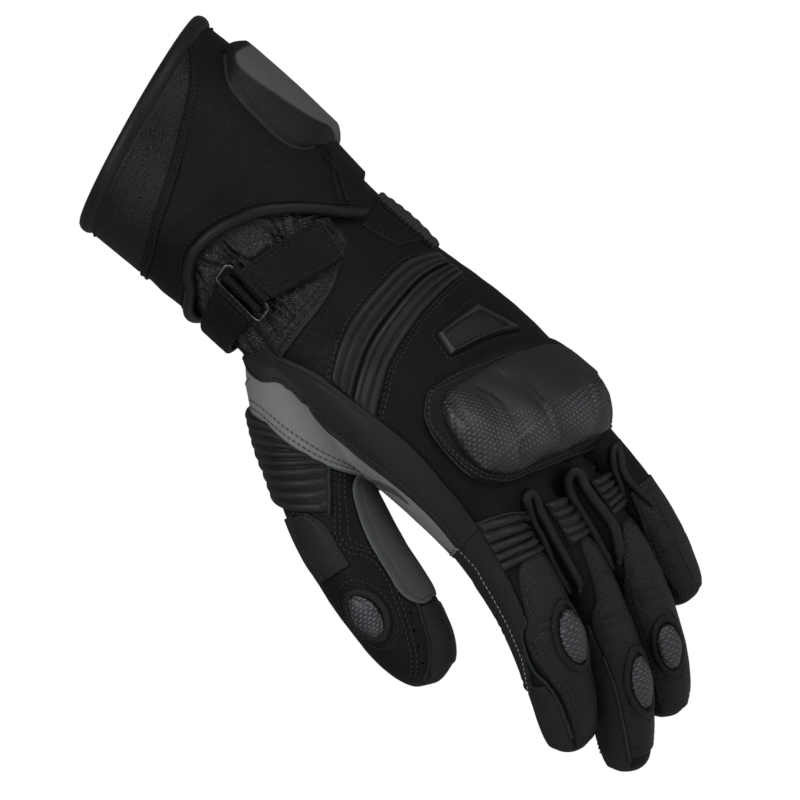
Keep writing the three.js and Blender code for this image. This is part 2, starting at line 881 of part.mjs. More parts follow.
// A raised seam in the valley between two fingers.
function ridge(thumbward, outward, from, to) {
  const spots = evenly(0, 1, 9).map((share) => {
    const station = mix(from, to, share);
    const side = mix(46, 62, share);
    const left = thumbward(station, -side);
    const right = outward(station, side);
    const point = left.add(right).multiplyScalar(0.5);
    const up = thumbward(station, -10, 1).sub(thumbward(station, -10));
    settled(point, up, [], ridgeWidth / 2 + seatGap);
    return { point, up };
  });
  return roll(spots, ridgeRadius, ridgeWidth / 2, 6, false);
}

// Raised panel over the back of the thumb, from its ribs to its slider.
function thumbPanel() {
  const table = [
    // station, turn on the back side, station, turn on the hand side
    [0.5, 58, 0.47, -62],
    [0.58, 52, 0.57, -40],
    [0.68, 46, 0.66, -48],
  ];
  return patch(fingers.thumb, table, { rows: 6, cols: 6 });
}

function thumbTipPanel() {
  const table = [
    // station, turn on the back side, station, turn on the hand side
    [0.85, 62, 0.86, -66],
    [0.9, 54, 0.91, -58],
    [0.94, 40, 0.94, -40],
  ];
  return patch(fingers.thumb, table, { rows: 5, cols: 8 });
}

function webPatch() {
  const table = [
    // station, turn on the back side, station, turn on the palm side
    [0.53, -84, 0.55, -140],
    [0.6, -73, 0.62, -136],
    [0.7, -70, 0.72, -128],
    [0.8, -72, 0.82, -112],
  ];
  return patch(fingers.thumb, table, { rows: 9, cols: 5 });
}

// The hollow shells: each limb filled outside, less its hollow inside.
const sleeveStations = [1.25, 1.4, 1.6, 1.85, 2.1, 2.4, 2.7, 2.92, 3];
const fingerStations = [0.3, 0.42, 0.55, 0.68, 0.8, 0.89, 0.95, 0.985, 1];

function handShell() {
  const top = (turn) => flap(turn) - flapUnderlap / cuffLength;
  const outer = [0, 0.5, 1].map((share) =>
    turns(sleeveSides).map((turn) => sleeve(mix(top(turn), 1.1, share), turn)),
  );
  outer.push(...ringsAt(sleeve, sleeveStations, sleeveSides, 0));
  const hollowStations = [0.5, 0.8, 1.05, ...sleeveStations.slice(0, -2), 2.88];
  const inner = ringsAt(sleeve, hollowStations, sleeveSides, -wall);
  const fingerRoots = ['index', 'middle', 'ring', 'little'].map((name) => {
    const { cut } = digits[name];
    const stations = [0.02, 0.16, cut - pieceGap / digits[name].length];
    return toSolid(plug(ringsAt(fingers[name], stations, digitSides, 0)));
  });
  const hollows = Object.keys(digits).map((name) => {
    const stations = name === 'thumb' ? [0.02, 0.15, 0.3, 0.45] : [0.1, 0.24, 0.42];
    return toSolid(plug(ringsAt(fingers[name], stations, digitSides, -wall)));
  });
  let solid = toSolid(plug(outer));
  fingerRoots.forEach((root) => {
    solid = solid.add(root);
  });
  solid = solid.subtract(toSolid(plug(inner)));
  hollows.forEach((hollow) => {
    solid = solid.subtract(hollow);
  });
  return toGeometry(largest(solid));
}

function stall(name) {
  const { cut } = digits[name];
  const place = fingers[name];
  const stations = [cut, ...fingerStations.filter((s) => s > cut + 0.05)];
  const inside = [cut - 0.02, ...stations.slice(1, -2), 0.968];
  let solid = toSolid(plug(ringsAt(place, stations, digitSides, 0)));
  solid = solid.subtract(toSolid(plug(ringsAt(place, inside, digitSides, -wall))));
  return toGeometry(largest(solid.subtract(sleeveBlock())));
}

add('shell', 'cuff_shell', cuffShell(), 'black_leather');
add('shell', 'hand_shell', handShell(), 'black_leather');
for (const name of Object.keys(digits)) {
  add('shell', `${name}_stall`, stall(name), 'black_leather');
}

add('cuff', 'cuff_binding', cuffBinding(), 'trim_leather');
add('cuff', 'cuff_band', cuffBand(), 'black_leather');
add('cuff', 'flap_piping', flapPiping(), 'trim_leather');
add('cuff', 'cuff_pad', cuffPad(), 'pad_rubber');
add('cuff', 'wrist_shirring', wristShirring(), 'black_leather');
add('cuff', 'strap_tab', strapTab(), 'black_leather');
add('cuff', 'wrist_strap', wristStrap(), 'black_leather');
add('cuff', 'strap_ring', strapRing(), 'dark_wire');
add('cuff', 'outer_wrist_panel', outerWristPanel(), 'stretch_knit');
add('cuff', 'outer_wrist_flap', outerWristFlap(), 'black_leather');

add('back', 'back_ribs', backRibs(), 'black_leather');
add('back', 'badge_plate', badgePlate(), 'black_leather');
add('back', 'guard_border', guardBorder(), 'black_leather');
add('back', 'knuckle_guard', knuckleGuard(), 'carbon');
add('back', 'side_strip', sideStrip(), 'black_leather');
add('back', 'palm_panel', palmPanel(), 'grey_leather');

// Ribs behind each finger's middle joint: first row nearest to the knuckle.
const ribTables = {
  index: [[0.21, 58, 0.21, -30], [0.36, 56, 0.36, -30]],
  middle: [[0.2, 36, 0.2, -34], [0.34, 34, 0.34, -34]],
  ring: [[0.24, 38, 0.24, -34], [0.4, 34, 0.4, -34]],
};
for (const [name, table] of Object.entries(ribTables)) {
  add('digits', `${name}_ribs`, fingerRibs(fingers[name], table, 5), 'black_leather');
}

const sliders = {
  // middle station, half length, turn, half spread in degrees
  index: [0.574, 0.078, 10, 21],
  middle: [0.723, 0.068, 6, 21],
  ring: [0.761, 0.068, 20, 21],
  thumb: [0.766, 0.056, -4, 17],
};
for (const [name, [middle, half, turn, spread]] of Object.entries(sliders)) {
  add('digits', `${name}_slider`, slider(fingers[name], middle, half, turn, spread), 'carbon');
}

add('digits', 'ridge_index_middle', ridge(fingers.index, fingers.middle, 0.2, 0.5), 'trim_leather');
add('digits', 'ridge_middle_ring', ridge(fingers.middle, fingers.ring, 0.2, 0.5), 'trim_leather');
add('digits', 'ridge_ring_little', ridge(fingers.ring, fingers.little, 0.3, 0.52), 'trim_leather');
add('digits', 'index_strip', indexStrip(), 'black_leather');

const thumbRibTable = [
  // station, turn on the back side, station, turn on the hand side
  [0.25, 76, 0.24, -2],
  [0.32, 76, 0.3, -28],
  [0.4, 74, 0.37, -48],
  [0.475, 62, 0.44, -64],
];
const thumbRibs = patch(fingers.thumb, thumbRibTable, {
  rows: 19,
  cols: 5,
  lift: ribSeat,
  thickness: thinLeather,
  relief: (u, v) => ribHeight * ribbed(9, v) * Math.min(1, 8 * u, 8 * (1 - u)),
});
add('digits', 'thumb_ribs', thumbRibs, 'black_leather');
add('digits', 'thenar_panel', thenarPanel(), 'grey_leather');
add('digits', 'thumb_panel', thumbPanel(), 'black_leather');
add('digits', 'thumb_tip_panel', thumbTipPanel(), 'black_leather');
add('digits', 'web_patch', webPatch(), 'web_leather');

export default glove;
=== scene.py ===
import math

import bpy
import numpy as np
from mathutils import Matrix, Vector, noise
from mathutils.bvhtree import BVHTree


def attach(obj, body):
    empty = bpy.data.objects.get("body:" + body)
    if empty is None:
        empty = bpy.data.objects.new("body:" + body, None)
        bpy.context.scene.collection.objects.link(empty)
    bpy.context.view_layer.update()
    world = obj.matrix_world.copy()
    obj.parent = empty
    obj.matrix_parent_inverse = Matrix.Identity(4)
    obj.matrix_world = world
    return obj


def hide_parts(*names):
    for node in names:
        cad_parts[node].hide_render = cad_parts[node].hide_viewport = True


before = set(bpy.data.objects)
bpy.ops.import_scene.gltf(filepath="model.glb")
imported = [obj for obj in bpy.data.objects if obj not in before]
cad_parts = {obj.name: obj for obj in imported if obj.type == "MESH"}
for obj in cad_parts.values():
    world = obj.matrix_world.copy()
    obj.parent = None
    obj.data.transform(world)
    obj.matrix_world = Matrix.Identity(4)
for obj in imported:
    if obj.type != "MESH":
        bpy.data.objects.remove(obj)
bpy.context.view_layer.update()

# The camera and the studio.
# The glove is seen from its thumb side and slightly from below, through a long lens turned
# so that the fingers point to the lower right. Large soft boxes light a white room.
camera_right = Vector((0.5019, -0.4075, -0.7631))
camera_up = Vector((0.5020, -0.5812, 0.6406))
camera_back = camera_right.cross(camera_up).normalized()
aim = Vector((-0.0033, 0.0200, -0.1348))
camera_distance = 2.4
view_width = 0.2807
lens_data = bpy.data.cameras.new("camera")
lens_data.sensor_width = 36
lens_data.lens = lens_data.sensor_width * camera_distance / view_width
camera = bpy.data.objects.new("camera", lens_data)
axes = Matrix((camera_right, camera_up, camera_back)).transposed().to_4x4()
camera.matrix_world = Matrix.Translation(aim + camera_back * camera_distance) @ axes
bpy.context.scene.collection.objects.link(camera)
bpy.context.scene.camera = camera
bpy.context.scene.view_settings.view_transform = "Standard"


def soft_box(name, right, up, back, side, power):
    """A square area light, placed from the glove in the picture's own directions."""
    light = bpy.data.lights.new(name, "AREA")
    light.size = side
    light.energy = power
    lamp = bpy.data.objects.new(name, light)
    away = camera_right * right + camera_up * up + camera_back * back
    lamp.location = aim + away
    lamp.rotation_mode = "QUATERNION"
    lamp.rotation_quaternion = away.to_track_quat("Z", "Y")
    bpy.context.scene.collection.objects.link(lamp)


soft_box("key_box", -1.3, 0.3, 1.3, 1.2, 24)
soft_box("top_box", 0.6, 1.5, 0.9, 1.0, 14)
soft_box("low_box", -0.4, -1.3, 0.8, 0.8, 6)

room = bpy.data.worlds.new("white_room")
bpy.context.scene.world = room
room.use_nodes = True
room_tree = room.node_tree
room_tree.nodes.clear()
room_output = room_tree.nodes.new("ShaderNodeOutputWorld")
room_mix = room_tree.nodes.new("ShaderNodeMixShader")
room_seen = room_tree.nodes.new("ShaderNodeBackground")
room_seen.inputs["Color"].default_value = (1, 1, 1, 1)
room_light = room_tree.nodes.new("ShaderNodeBackground")
room_light.inputs["Color"].default_value = (1, 1, 1, 1)
room_light.inputs["Strength"].default_value = 0.12
room_path = room_tree.nodes.new("ShaderNodeLightPath")
room_tree.links.new(room_path.outputs["Is Camera Ray"], room_mix.inputs[0])
room_tree.links.new(room_light.outputs[0], room_mix.inputs[1])
room_tree.links.new(room_seen.outputs[0], room_mix.inputs[2])
room_tree.links.new(room_mix.outputs[0], room_output.inputs["Surface"])


class Wire:
    """One output socket of a material's nodes. Sums on it add Math nodes."""

    def __init__(self, tree, socket=None):
        self.tree = tree
        self.socket = socket

    def node(self, kind, settings=None, sockets=None, output=0):
        """A new node of that kind, with its settings, then the values or links it is fed."""
        made = self.tree.nodes.new(kind)
        for name, value in (settings or {}).items():
            if name == "stops":
                for place, shade in value:
                    stop = made.color_ramp.elements.new(place)
                    stop.color = (shade, shade, shade, 1)
                made.color_ramp.elements.remove(made.color_ramp.elements[0])
                made.color_ramp.elements.remove(made.color_ramp.elements[-1])
            else:
                setattr(made, name, value)
        for name, value in (sockets or {}).items():
            if isinstance(value, Wire):
                self.tree.links.new(value.socket, made.inputs[name])
            else:
                made.inputs[name].default_value = value
        return Wire(self.tree, made.outputs[output])

    def sum(self, operation, first, second=0.0, third=0.0):
        sockets = {0: first, 1: second, 2: third}
        return self.node("ShaderNodeMath", {"operation": operation}, sockets)

    def __add__(self, other):
        return self.sum("ADD", self, other)

    def __radd__(self, other):
        return self.sum("ADD", other, self)

    def __sub__(self, other):
        return self.sum("SUBTRACT", self, other)

    def __rsub__(self, other):
        return self.sum("SUBTRACT", other, self)

    def __mul__(self, other):
        return self.sum("MULTIPLY", self, other)

    def __rmul__(self, other):
        return self.sum("MULTIPLY", other, self)

    def between(self, low, high):
        """0 below low, 1 above high, and a straight rise from one to the other."""
        sockets = {"Value": self, "From Min": low, "From Max": high}
        return self.node("ShaderNodeMapRange", {"clamp": True}, sockets)

    def blend(self, first, second):
        """The first colour where this is 0 and the second where it is 1."""
        sockets = {"Factor": self, 6: first, 7: second}
        return self.node("ShaderNodeMix", {"data_type": "RGBA"}, sockets, output=2)


def finish(name):
    """An empty material and the wire that its nodes start from."""
    material = bpy.data.materials.new(name)
    material.use_nodes = True
    return material, Wire(material.node_tree)


def surface_of(material):
    return material.node_tree.nodes["Principled BSDF"].inputs


def feed(material, name, wire):
    material.node_tree.links.new(wire.socket, surface_of(material)[name])


def bumped(material, paint, height, depth, strength=1.0):
    """Raises the finish by its height, which runs from 0 to 1, times depth in metres."""
    sockets = {"Height": height, "Distance": depth, "Strength": strength}
    feed(material, "Normal", paint.node("ShaderNodeBump", None, sockets))


def tint(shade):
    return (*shade, 1)


floor_white, floor_paint = finish("studio_floor")
floor_object = floor_paint.node("ShaderNodeTexCoord", output="Object")
floor_cloud = floor_paint.node("ShaderNodeTexNoise", None, {"Vector": floor_object, "Scale": 2})
feed(floor_white, "Base Color", floor_cloud.blend(tint((0.9,) * 3), tint((0.93,) * 3)))
surface_of(floor_white)["Roughness"].default_value = 0.9
bpy.ops.object.select_all(action="DESELECT")
bpy.ops.mesh.primitive_circle_add(vertices=96, radius=6, fill_type="NGON", location=(0, 0, -0.55))
floor = bpy.context.object
floor.name = "studio_floor"
bpy.ops.object.transform_apply(location=True)
floor.data.materials.append(floor_white)

# The hand of the glove.
# Cow leather cut to a back, a palm and a thumb, and sewn into one hollow bag. It is made
# as one closed form from sections along the arm, opened under the cuff and given its wall.
cuff_length = 0.078
palm_length = 0.097
web_length = 0.024
cuff_width = 0.086
cuff_depth = 0.078
wrist_width = 0.078
wrist_depth = 0.067
palm_width = 0.097
palm_depth = 0.043
wall = 0.0018
knuckle_line = cuff_length + palm_length

sleeve_rows = [
    # station, width, depth, shift to the palm, squareness
    (-0.12, cuff_width, cuff_depth, 0, 2),
    (0, cuff_width, cuff_depth, 0, 2),
    (0.35, cuff_width * 0.985, cuff_depth * 0.985, 0, 2),
    (0.7, cuff_width * 0.92, cuff_depth * 0.92, cuff_depth * 0.01, 2),
    (1, wrist_width, wrist_depth, wrist_depth * 0.045, 2.05),
    (1.3, wrist_width * 1.08, wrist_depth * 0.86, wrist_depth * 0.07, 2.15),
    (1.6, palm_width * 0.985, palm_depth * 1.12, palm_depth * 0.12, 2.3),
    (1.85, palm_width, palm_depth, palm_depth * 0.15, 2.4),
    (2, palm_width * 0.985, palm_depth * 0.95, palm_depth * 0.2, 2.4),
    (2.4, palm_width * 0.96, palm_depth * 0.84, palm_depth * 0.28, 2.4),
    (2.75, palm_width * 0.93, palm_depth * 0.68, palm_depth * 0.34, 2.4),
    (2.93, palm_width * 0.88, palm_depth * 0.42, palm_depth * 0.38, 2.3),
    (3, palm_width * 0.8, palm_depth * 0.2, palm_depth * 0.4, 2.2),
]


def eased(rows, at):
    """The columns of a table whose rows start with their station, eased between rows."""
    rows = np.array(rows, float)
    keys, values = rows[:, 0], rows[:, 1:]
    at = np.asarray(at, float)
    last = len(keys) - 1
    k = np.clip(np.searchsorted(keys, at) - 1, 0, last - 1).astype(int)
    low = np.maximum(np.arange(last + 1) - 1, 0)
    high = np.minimum(np.arange(last + 1) + 1, last)
    slope = (values[high] - values[low]) / (keys[high] - keys[low])[:, None]
    span = (keys[k + 1] - keys[k])[..., None]
    share = np.clip((at - keys[k])[..., None] / span, 0, 1)
    rise = share * share * (3 - 2 * share)
    start = share * (1 - share) ** 2 * span * slope[k]
    end = share * share * (1 - share) * span * slope[k + 1]
    return values[k] + (values[k + 1] - values[k]) * rise + start - end


def mix(first, second, share):
    return first + (second - first) * share


def unit(arrows):
    return arrows / np.maximum(np.linalg.norm(arrows, axis=-1, keepdims=True), 1e-12)


def rounded(value, power):
    return np.sign(value) * np.abs(value) ** power


def sleeve(station, turn):
    """A point of the cuff, wrist or palm. Turn runs round it in degrees from its back."""
    station, turn = np.broadcast_arrays(np.asarray(station, float), np.asarray(turn, float))
    width, depth, shift, square = np.moveaxis(eased(sleeve_rows, station), -1, 0)
    around = np.radians(turn)
    in_cuff = np.minimum(station, 1) * cuff_length
    in_palm = np.clip(station - 1, 0, 1) * palm_length
    x = -width / 2 * rounded(np.sin(around), 2 / square)
    y = shift - depth / 2 * rounded(np.cos(around), 2 / square)
    z = -(in_cuff + in_palm + np.maximum(station - 2, 0) * web_length)
    return np.stack([x, y, z], -1)


def raised(place, station, turn, lift):
    """A point that stands off a surface along its normal."""
    step = 0.004
    along = place(station + step, turn) - place(station - step, turn)
    around = place(station, turn + 1) - place(station, turn - 1)
    return place(station, turn) + unit(np.cross(around, along)) * np.asarray(lift)[..., None]


finger_rows = [
    # station, width, depth
    (0, 0.9, 1.15),
    (0.12, 0.97, 1.16),
    (0.25, 1, 1.12),
    (0.4, 1, 1.05),
    (0.55, 1, 1),
    (0.7, 0.98, 0.95),
    (0.82, 0.95, 0.86),
    (0.91, 0.88, 0.75),
    (0.965, 0.72, 0.6),
    (0.99, 0.46, 0.38),
    (1, 0.08, 0.08),
]
thumb_rows = [
    # station, width, depth
    (0, 0.7, 0.7),
    (0.12, 0.88, 0.88),
    (0.25, 1.02, 1.02),
    (0.45, 1.04, 1.04),
    (0.6, 1, 1),
    (0.75, 0.99, 0.96),
    (0.86, 0.94, 0.88),
    (0.93, 0.8, 0.72),
    (0.97, 0.6, 0.54),
    (0.99, 0.4, 0.34),
    (1, 0.08, 0.08),
]
knuckle_spacing = palm_width * 0.226
finger_width = knuckle_spacing - 0.0006
finger_depth = 0.024
thumb_width = 0.033
to_back = (0, -1, 0)
thumb_back = (-1, -0.1, 0)


def digit(root, length, width, depth, bones, rows, back=to_back, pinch=0):
    """The surface of a finger that bends from bone to bone, as shares of its length.
    Pinch flattens the outer side of its root."""
    joints = [np.array(root)]
    for share, curl, lean in bones:
        heading = np.array([-math.tan(math.radians(lean)), math.tan(math.radians(curl)), -1])
        joints.append(joints[-1] + unit(heading) * length * share)
    ends = [2 * joints[0] - joints[1], *joints, 2 * joints[-1] - joints[-2]]
    line = []
    for k in range(len(joints) - 1):
        a, b, c, d = ends[k:k + 4]
        before, here, after = [np.linalg.norm(q - p) ** 0.5 for p, q in ((a, b), (b, c), (c, d))]
        leave = (b - a) / before - (c - a) / (before + here) + (c - b) / here
        arrive = (c - b) / here - (d - b) / (here + after) + (d - c) / after
        for s in np.linspace(0, 1, 60, endpoint=k == len(joints) - 2):
            square, cube = s * s, s * s * s
            point = b + leave * here * (cube - 2 * square + s)
            point = point + (c - b) * (3 * square - 2 * cube)
            line.append(point + arrive * here * (cube - square))
    line = np.array(line)
    steps = np.linalg.norm(np.diff(line, axis=0), axis=1)
    shares = np.concatenate([[0], np.cumsum(steps)]) / steps.sum()
    headings = unit(np.gradient(line, shares, axis=0))

    def place(station, turn):
        station, turn = np.broadcast_arrays(np.asarray(station, float), np.asarray(turn, float))
        inside = np.clip(station, 0, 1)
        centre = np.stack([np.interp(inside, shares, line[:, k]) for k in range(3)], -1)
        along = np.stack([np.interp(inside, shares, headings[:, k]) for k in range(3)], -1)
        along = unit(along)
        centre = centre + along * ((station - inside) * length)[..., None]
        up = unit(np.array(back, float))
        above = unit(up - along * (along @ up)[..., None])
        side = np.cross(above, along)
        wide, deep = np.moveaxis(eased(rows, inside), -1, 0)
        around = np.radians(turn)
        flat = pinch * np.clip((0.6 - inside) / 0.25, 0, 1) * np.clip(np.cos(around - 0.9), 0, 1)
        sideways = side * (-wide * width / 2 * np.sin(around))[..., None]
        upward = above * (deep * depth / 2 * np.cos(around))[..., None]
        return centre + (sideways + upward) * (1 - flat)[..., None]

    return place


curled = [(0.45, 20, 3), (0.3, 36, 5), (0.25, 46, 7)]
fingers = {
    "index": digit(
        (-1.5 * knuckle_spacing, palm_depth * 0.2, palm_length * 0.01 - knuckle_line),
        0.102, finger_width, finger_depth, curled, finger_rows,
    ),
    "middle": digit(
        (-0.5 * knuckle_spacing, palm_depth * 0.19, -palm_length * 0.03 - knuckle_line),
        0.121, finger_width, finger_depth,
        [(0.45, 20, 3), (0.3, 36, 6), (0.25, 46, 11)], finger_rows,
    ),
    "ring": digit(
        (0.5 * knuckle_spacing, palm_depth * 0.19, -palm_length * 0.01 - knuckle_line),
        0.115, finger_width, finger_depth * 0.97,
        [(0.45, 15, 3), (0.3, 30, 7), (0.25, 42, 12)], finger_rows,
    ),
    "little": digit(
        (1.46 * knuckle_spacing, palm_depth * 0.2, palm_length * 0.05 - knuckle_line),
        0.091, finger_width * 0.94, finger_depth * 0.88,
        [(0.45, 10, 2), (0.3, 20, 3), (0.25, 30, 3)], finger_rows,
    ),
    "thumb": digit(
        (-palm_width * 0.225, palm_depth * 0.4, -0.007 - cuff_length),
        0.139, thumb_width, thumb_width,
        [(0.31, 17, 33), (0.32, 13, 19), (0.37, 12, 10)], thumb_rows, thumb_back, 0.26,
    ),
}
finger_cuts = {"index": 0.29, "middle": 0.26, "ring": 0.26, "little": 0.36}

mouth_slant = 0.0086
flap_rows = [
    # turn, station of the cuff flap's lower edge
    (-180, 0.8), (-120, 0.86), (-60, 0.93), (-30, 0.98), (-8, 1.045), (5, 0.987), (16, 0.9),
    (28, 0.807), (39, 0.731), (49, 0.687), (57, 0.654), (67, 0.631), (78, 0.628), (90, 0.663),
    (97, 0.705), (116, 0.735), (180, 0.8),
]


def mouth(turn):
    return 0.007 - mouth_slant / cuff_length * np.cos(np.radians(turn + 66))


def flap(turn):
    wrapped = (np.asarray(turn, float) + 540) % 360 - 180
    return eased(flap_rows, wrapped)[..., 0]


def new_piece(name, points, faces):
    mesh = bpy.data.meshes.new(name)
    mesh.from_pydata([tuple(point) for point in points], [], [tuple(face) for face in faces])
    mesh.update()
    piece = bpy.data.objects.new(name, mesh)
    bpy.context.scene.collection.objects.link(piece)
    return piece


def only(piece):
    bpy.ops.object.select_all(action="DESELECT")
    piece.select_set(True)
    bpy.context.view_layer.objects.active = piece


def modified(piece, kind, **settings):
    """Adds one modifier to a piece and applies it."""
    only(piece)
    modifier = piece.modifiers.new(kind.lower(), kind)
    for name, value in settings.items():
        setattr(modifier, name, value)
    bpy.ops.object.modifier_apply(modifier=modifier.name)


def smooth(piece, angle=40):
    only(piece)
    bpy.ops.object.shade_smooth_by_angle(angle=math.radians(angle))


def plugged(rings):
    """Points and faces of a tube along rings, closed at both ends."""
    count, sides = rings.shape[:2]
    faces = []
    for r in range(count - 1):
        for c in range(sides):
            d = (c + 1) % sides
            faces.append((r * sides + c, r * sides + d, (r + 1) * sides + d, (r + 1) * sides + c))
    faces.append(tuple(range(sides - 1, -1, -1)))
    faces.append(tuple((count - 1) * sides + c for c in range(sides)))
    return rings.reshape(-1, 3), faces


def outward(piece):
    """Turns every face of a closed piece to its outside."""
    only(piece)
    bpy.ops.object.mode_set(mode="EDIT")
    bpy.ops.mesh.select_all(action="SELECT")
    bpy.ops.mesh.remove_doubles(threshold=1e-6)
    bpy.ops.mesh.normals_make_consistent(inside=False)
    bpy.ops.object.mode_set(mode="OBJECT")


def coordinates(piece):
    flat = np.empty(len(piece.data.vertices) * 3, np.float32)
    piece.data.vertices.foreach_get("co", flat)
    return flat.reshape(-1, 3).astype(float)


def normals(piece):
    flat = np.empty(len(piece.data.vertices) * 3, np.float32)
    piece.data.vertices.foreach_get("normal", flat)
    return flat.reshape(-1, 3).astype(float)


def place_points(piece, points):
    piece.data.vertices.foreach_set("co", points.astype(np.float32).ravel())
    piece.data.update()


def rumple(point, scale, seed):
    return noise.noise(Vector(point) / scale + Vector((seed, 0, 0)))


def rumpled(piece, deep, scale, seed):
    """Sinks and swells a leather piece a little, as worn leather does."""
    points = coordinates(piece)
    waves = [
        rumple(p, scale, seed) + 0.35 * rumple(p, scale / 3, seed + 9) for p in points
    ]
    place_points(piece, points + normals(piece) * (deep * np.array(waves))[:, None])


def cut_open(piece, dropped):
    """Deletes the faces whose corners are all dropped."""
    only(piece)
    bpy.ops.object.mode_set(mode="EDIT")
    bpy.ops.mesh.select_all(action="DESELECT")
    bpy.ops.object.mode_set(mode="OBJECT")
    piece.data.vertices.foreach_set("select", dropped)
    bpy.ops.object.mode_set(mode="EDIT")
    bpy.ops.mesh.select_mode(type="VERT")
    bpy.ops.mesh.delete(type="VERT")
    bpy.ops.object.mode_set(mode="OBJECT")


turns = np.arange(0, 360, 7.5)
sleeve_start = 0.5
sleeve_rings = np.array([sleeve(s, turns) for s in np.linspace(sleeve_start, 3, 60)])
root_rings = [sleeve_rings]
for name, place in fingers.items():
    end = 1 if name == "thumb" else finger_cuts[name] + 0.05
    root_rings.append(np.array([place(s, turns) for s in np.linspace(0, end, 50)]))
hand_points, hand_faces = [], []
for rings in root_rings:
    points, faces = plugged(rings)
    start = sum(len(group) for group in hand_points)
    hand_points.append(points)
    hand_faces += [tuple(start + corner for corner in face) for face in faces]
hand_leather = new_piece("hand_leather", np.concatenate(hand_points), hand_faces)
outward(hand_leather)
modified(hand_leather, "REMESH", mode="VOXEL", voxel_size=0.0014)
modified(hand_leather, "SMOOTH", factor=0.5, iterations=8)
rumpled(hand_leather, 0.00035, 0.016, 3)
points = coordinates(hand_leather)
around = np.degrees(np.arctan2(-points[:, 0], -points[:, 1]))
dropped = -points[:, 2] / cuff_length < flap(around) - 0.07
for name, cut in finger_cuts.items():
    place = fingers[name]
    centre = place(cut, np.array([0, 180])).mean(0)
    along = unit(place(cut + 0.02, np.array([0, 180])).mean(0) - centre)
    away = points - centre
    depth = away @ along
    spread = np.linalg.norm(away - depth[:, None] * along, axis=1)
    dropped |= (depth > 0) & (spread < finger_width * 0.72)
cut_open(hand_leather, dropped)

# The stalls of the four fingers.
# Each is a leather tube, closed and rounded at its tip, with cross folds inside its joints.
# It is sewn to the hand under the ribbed panels.


def lathed(name, place, stations, sides, wrinkle):
    """A leather tube along a digit, open at its root and closed at its tip."""
    around = np.arange(sides) * 360 / sides
    station, turn = np.meshgrid(stations, around, indexing="ij")
    points, faces = plugged(raised(place, station, turn, wrinkle(station, turn)))
    piece = new_piece(name, points, faces[:-2] + [faces[-1]])
    return piece


def joint_folds(station, turn):
    """Folds across the palm side of the joints, in metres, and a slight swell between."""
    under = np.clip(-np.cos(np.radians(turn)) + 0.35, 0, 1)
    folds = 0
    for joint in (0.46, 0.72):
        near = np.exp(-((station - joint) / 0.06) ** 2)
        folds = folds + near * np.sin((station - joint) * 190 + np.radians(turn) * 0.6)
    return 0.0002 + 0.0005 * folds * under


stalls = {}
for number, (name, cut) in enumerate(finger_cuts.items()):
    ramp = np.sin(np.linspace(0, math.pi / 2, 74)) ** 0.85
    stations = cut - 0.03 + (1 - cut + 0.03) * ramp
    stall = lathed(f"{name}_leather", fingers[name], stations, 48, joint_folds)
    rumpled(stall, 0.00035, 0.011, 20 + number)
    stalls[name] = stall


def tree_of(pieces):
    """One tree of every face of some pieces, to seat others on."""
    points, faces = [], []
    for piece in pieces:
        start = len(points)
        points += [vertex.co.copy() for vertex in piece.data.vertices]
        faces += [[start + k for k in face.vertices] for face in piece.data.polygons]
    return BVHTree.FromPolygons(points, faces)


hand_form = tree_of([hand_leather, *stalls.values()])
pixel = view_width / 800


def shown(form):
    """The surface that the camera sees, by places to the right and down in the picture."""
    eye = aim + camera_back * camera_distance

    def place(right, down):
        right, down = np.broadcast_arrays(np.asarray(right, float), np.asarray(down, float))
        spots = []
        for across, below in zip(right.ravel(), down.ravel()):
            over = aim + camera_right * ((across - 400) * pixel)
            over = over + camera_up * ((400 - below) * pixel)
            ray = (over - eye).normalized()
            spot = form.ray_cast(eye, ray)[0]
            if spot is None:
                spot = over
                for _ in range(8):
                    spot = form.find_nearest(eye + ray * (spot - eye).dot(ray))[0]
            spots.append(spot)
        return np.array(spots).reshape(*right.shape, 3)

    return place


def onto(form, point, hint):
    """The spot of a form, and its direction there, that lies under a point from outside."""
    hit = form.ray_cast(Vector(point + hint * 0.007), Vector(-hint), 0.014)
    return hit if hit[0] is not None else form.find_nearest(Vector(point))


def seated(points, form, calm=3, hints=None):
    """A line brought down on a form, with its directions outwards."""
    if hints is None:
        hits = [form.find_nearest(Vector(point)) for point in points]
    else:
        hits = [onto(form, point, hint) for point, hint in zip(points, hints)]
    seats = np.array([hit[0] for hit in hits])
    ups = np.array([hit[1] for hit in hits])
    for _ in range(calm):
        seats[1:-1] = (seats[:-2] + 2 * seats[1:-1] + seats[2:]) / 4
        ups[1:-1] = (ups[:-2] + 2 * ups[1:-1] + ups[2:]) / 4
    return seats, unit(ups)


def line_on(place, rows, form, lift, calm=4, cast=False):
    """A smooth line through its rows on a surface, at a height over the form."""
    share = np.linspace(0, 1, len(rows))
    many = eased(np.column_stack([share, np.array(rows, float)]), np.linspace(0, 1, 200))
    start = place(many[:, 0], many[:, 1])
    hints = None
    if cast:
        hints = unit(raised(place, many[:, 0], many[:, 1], np.full(200, 0.001)) - start)
    points, ups = seated(start, form, calm, hints)
    return points + ups * lift, ups


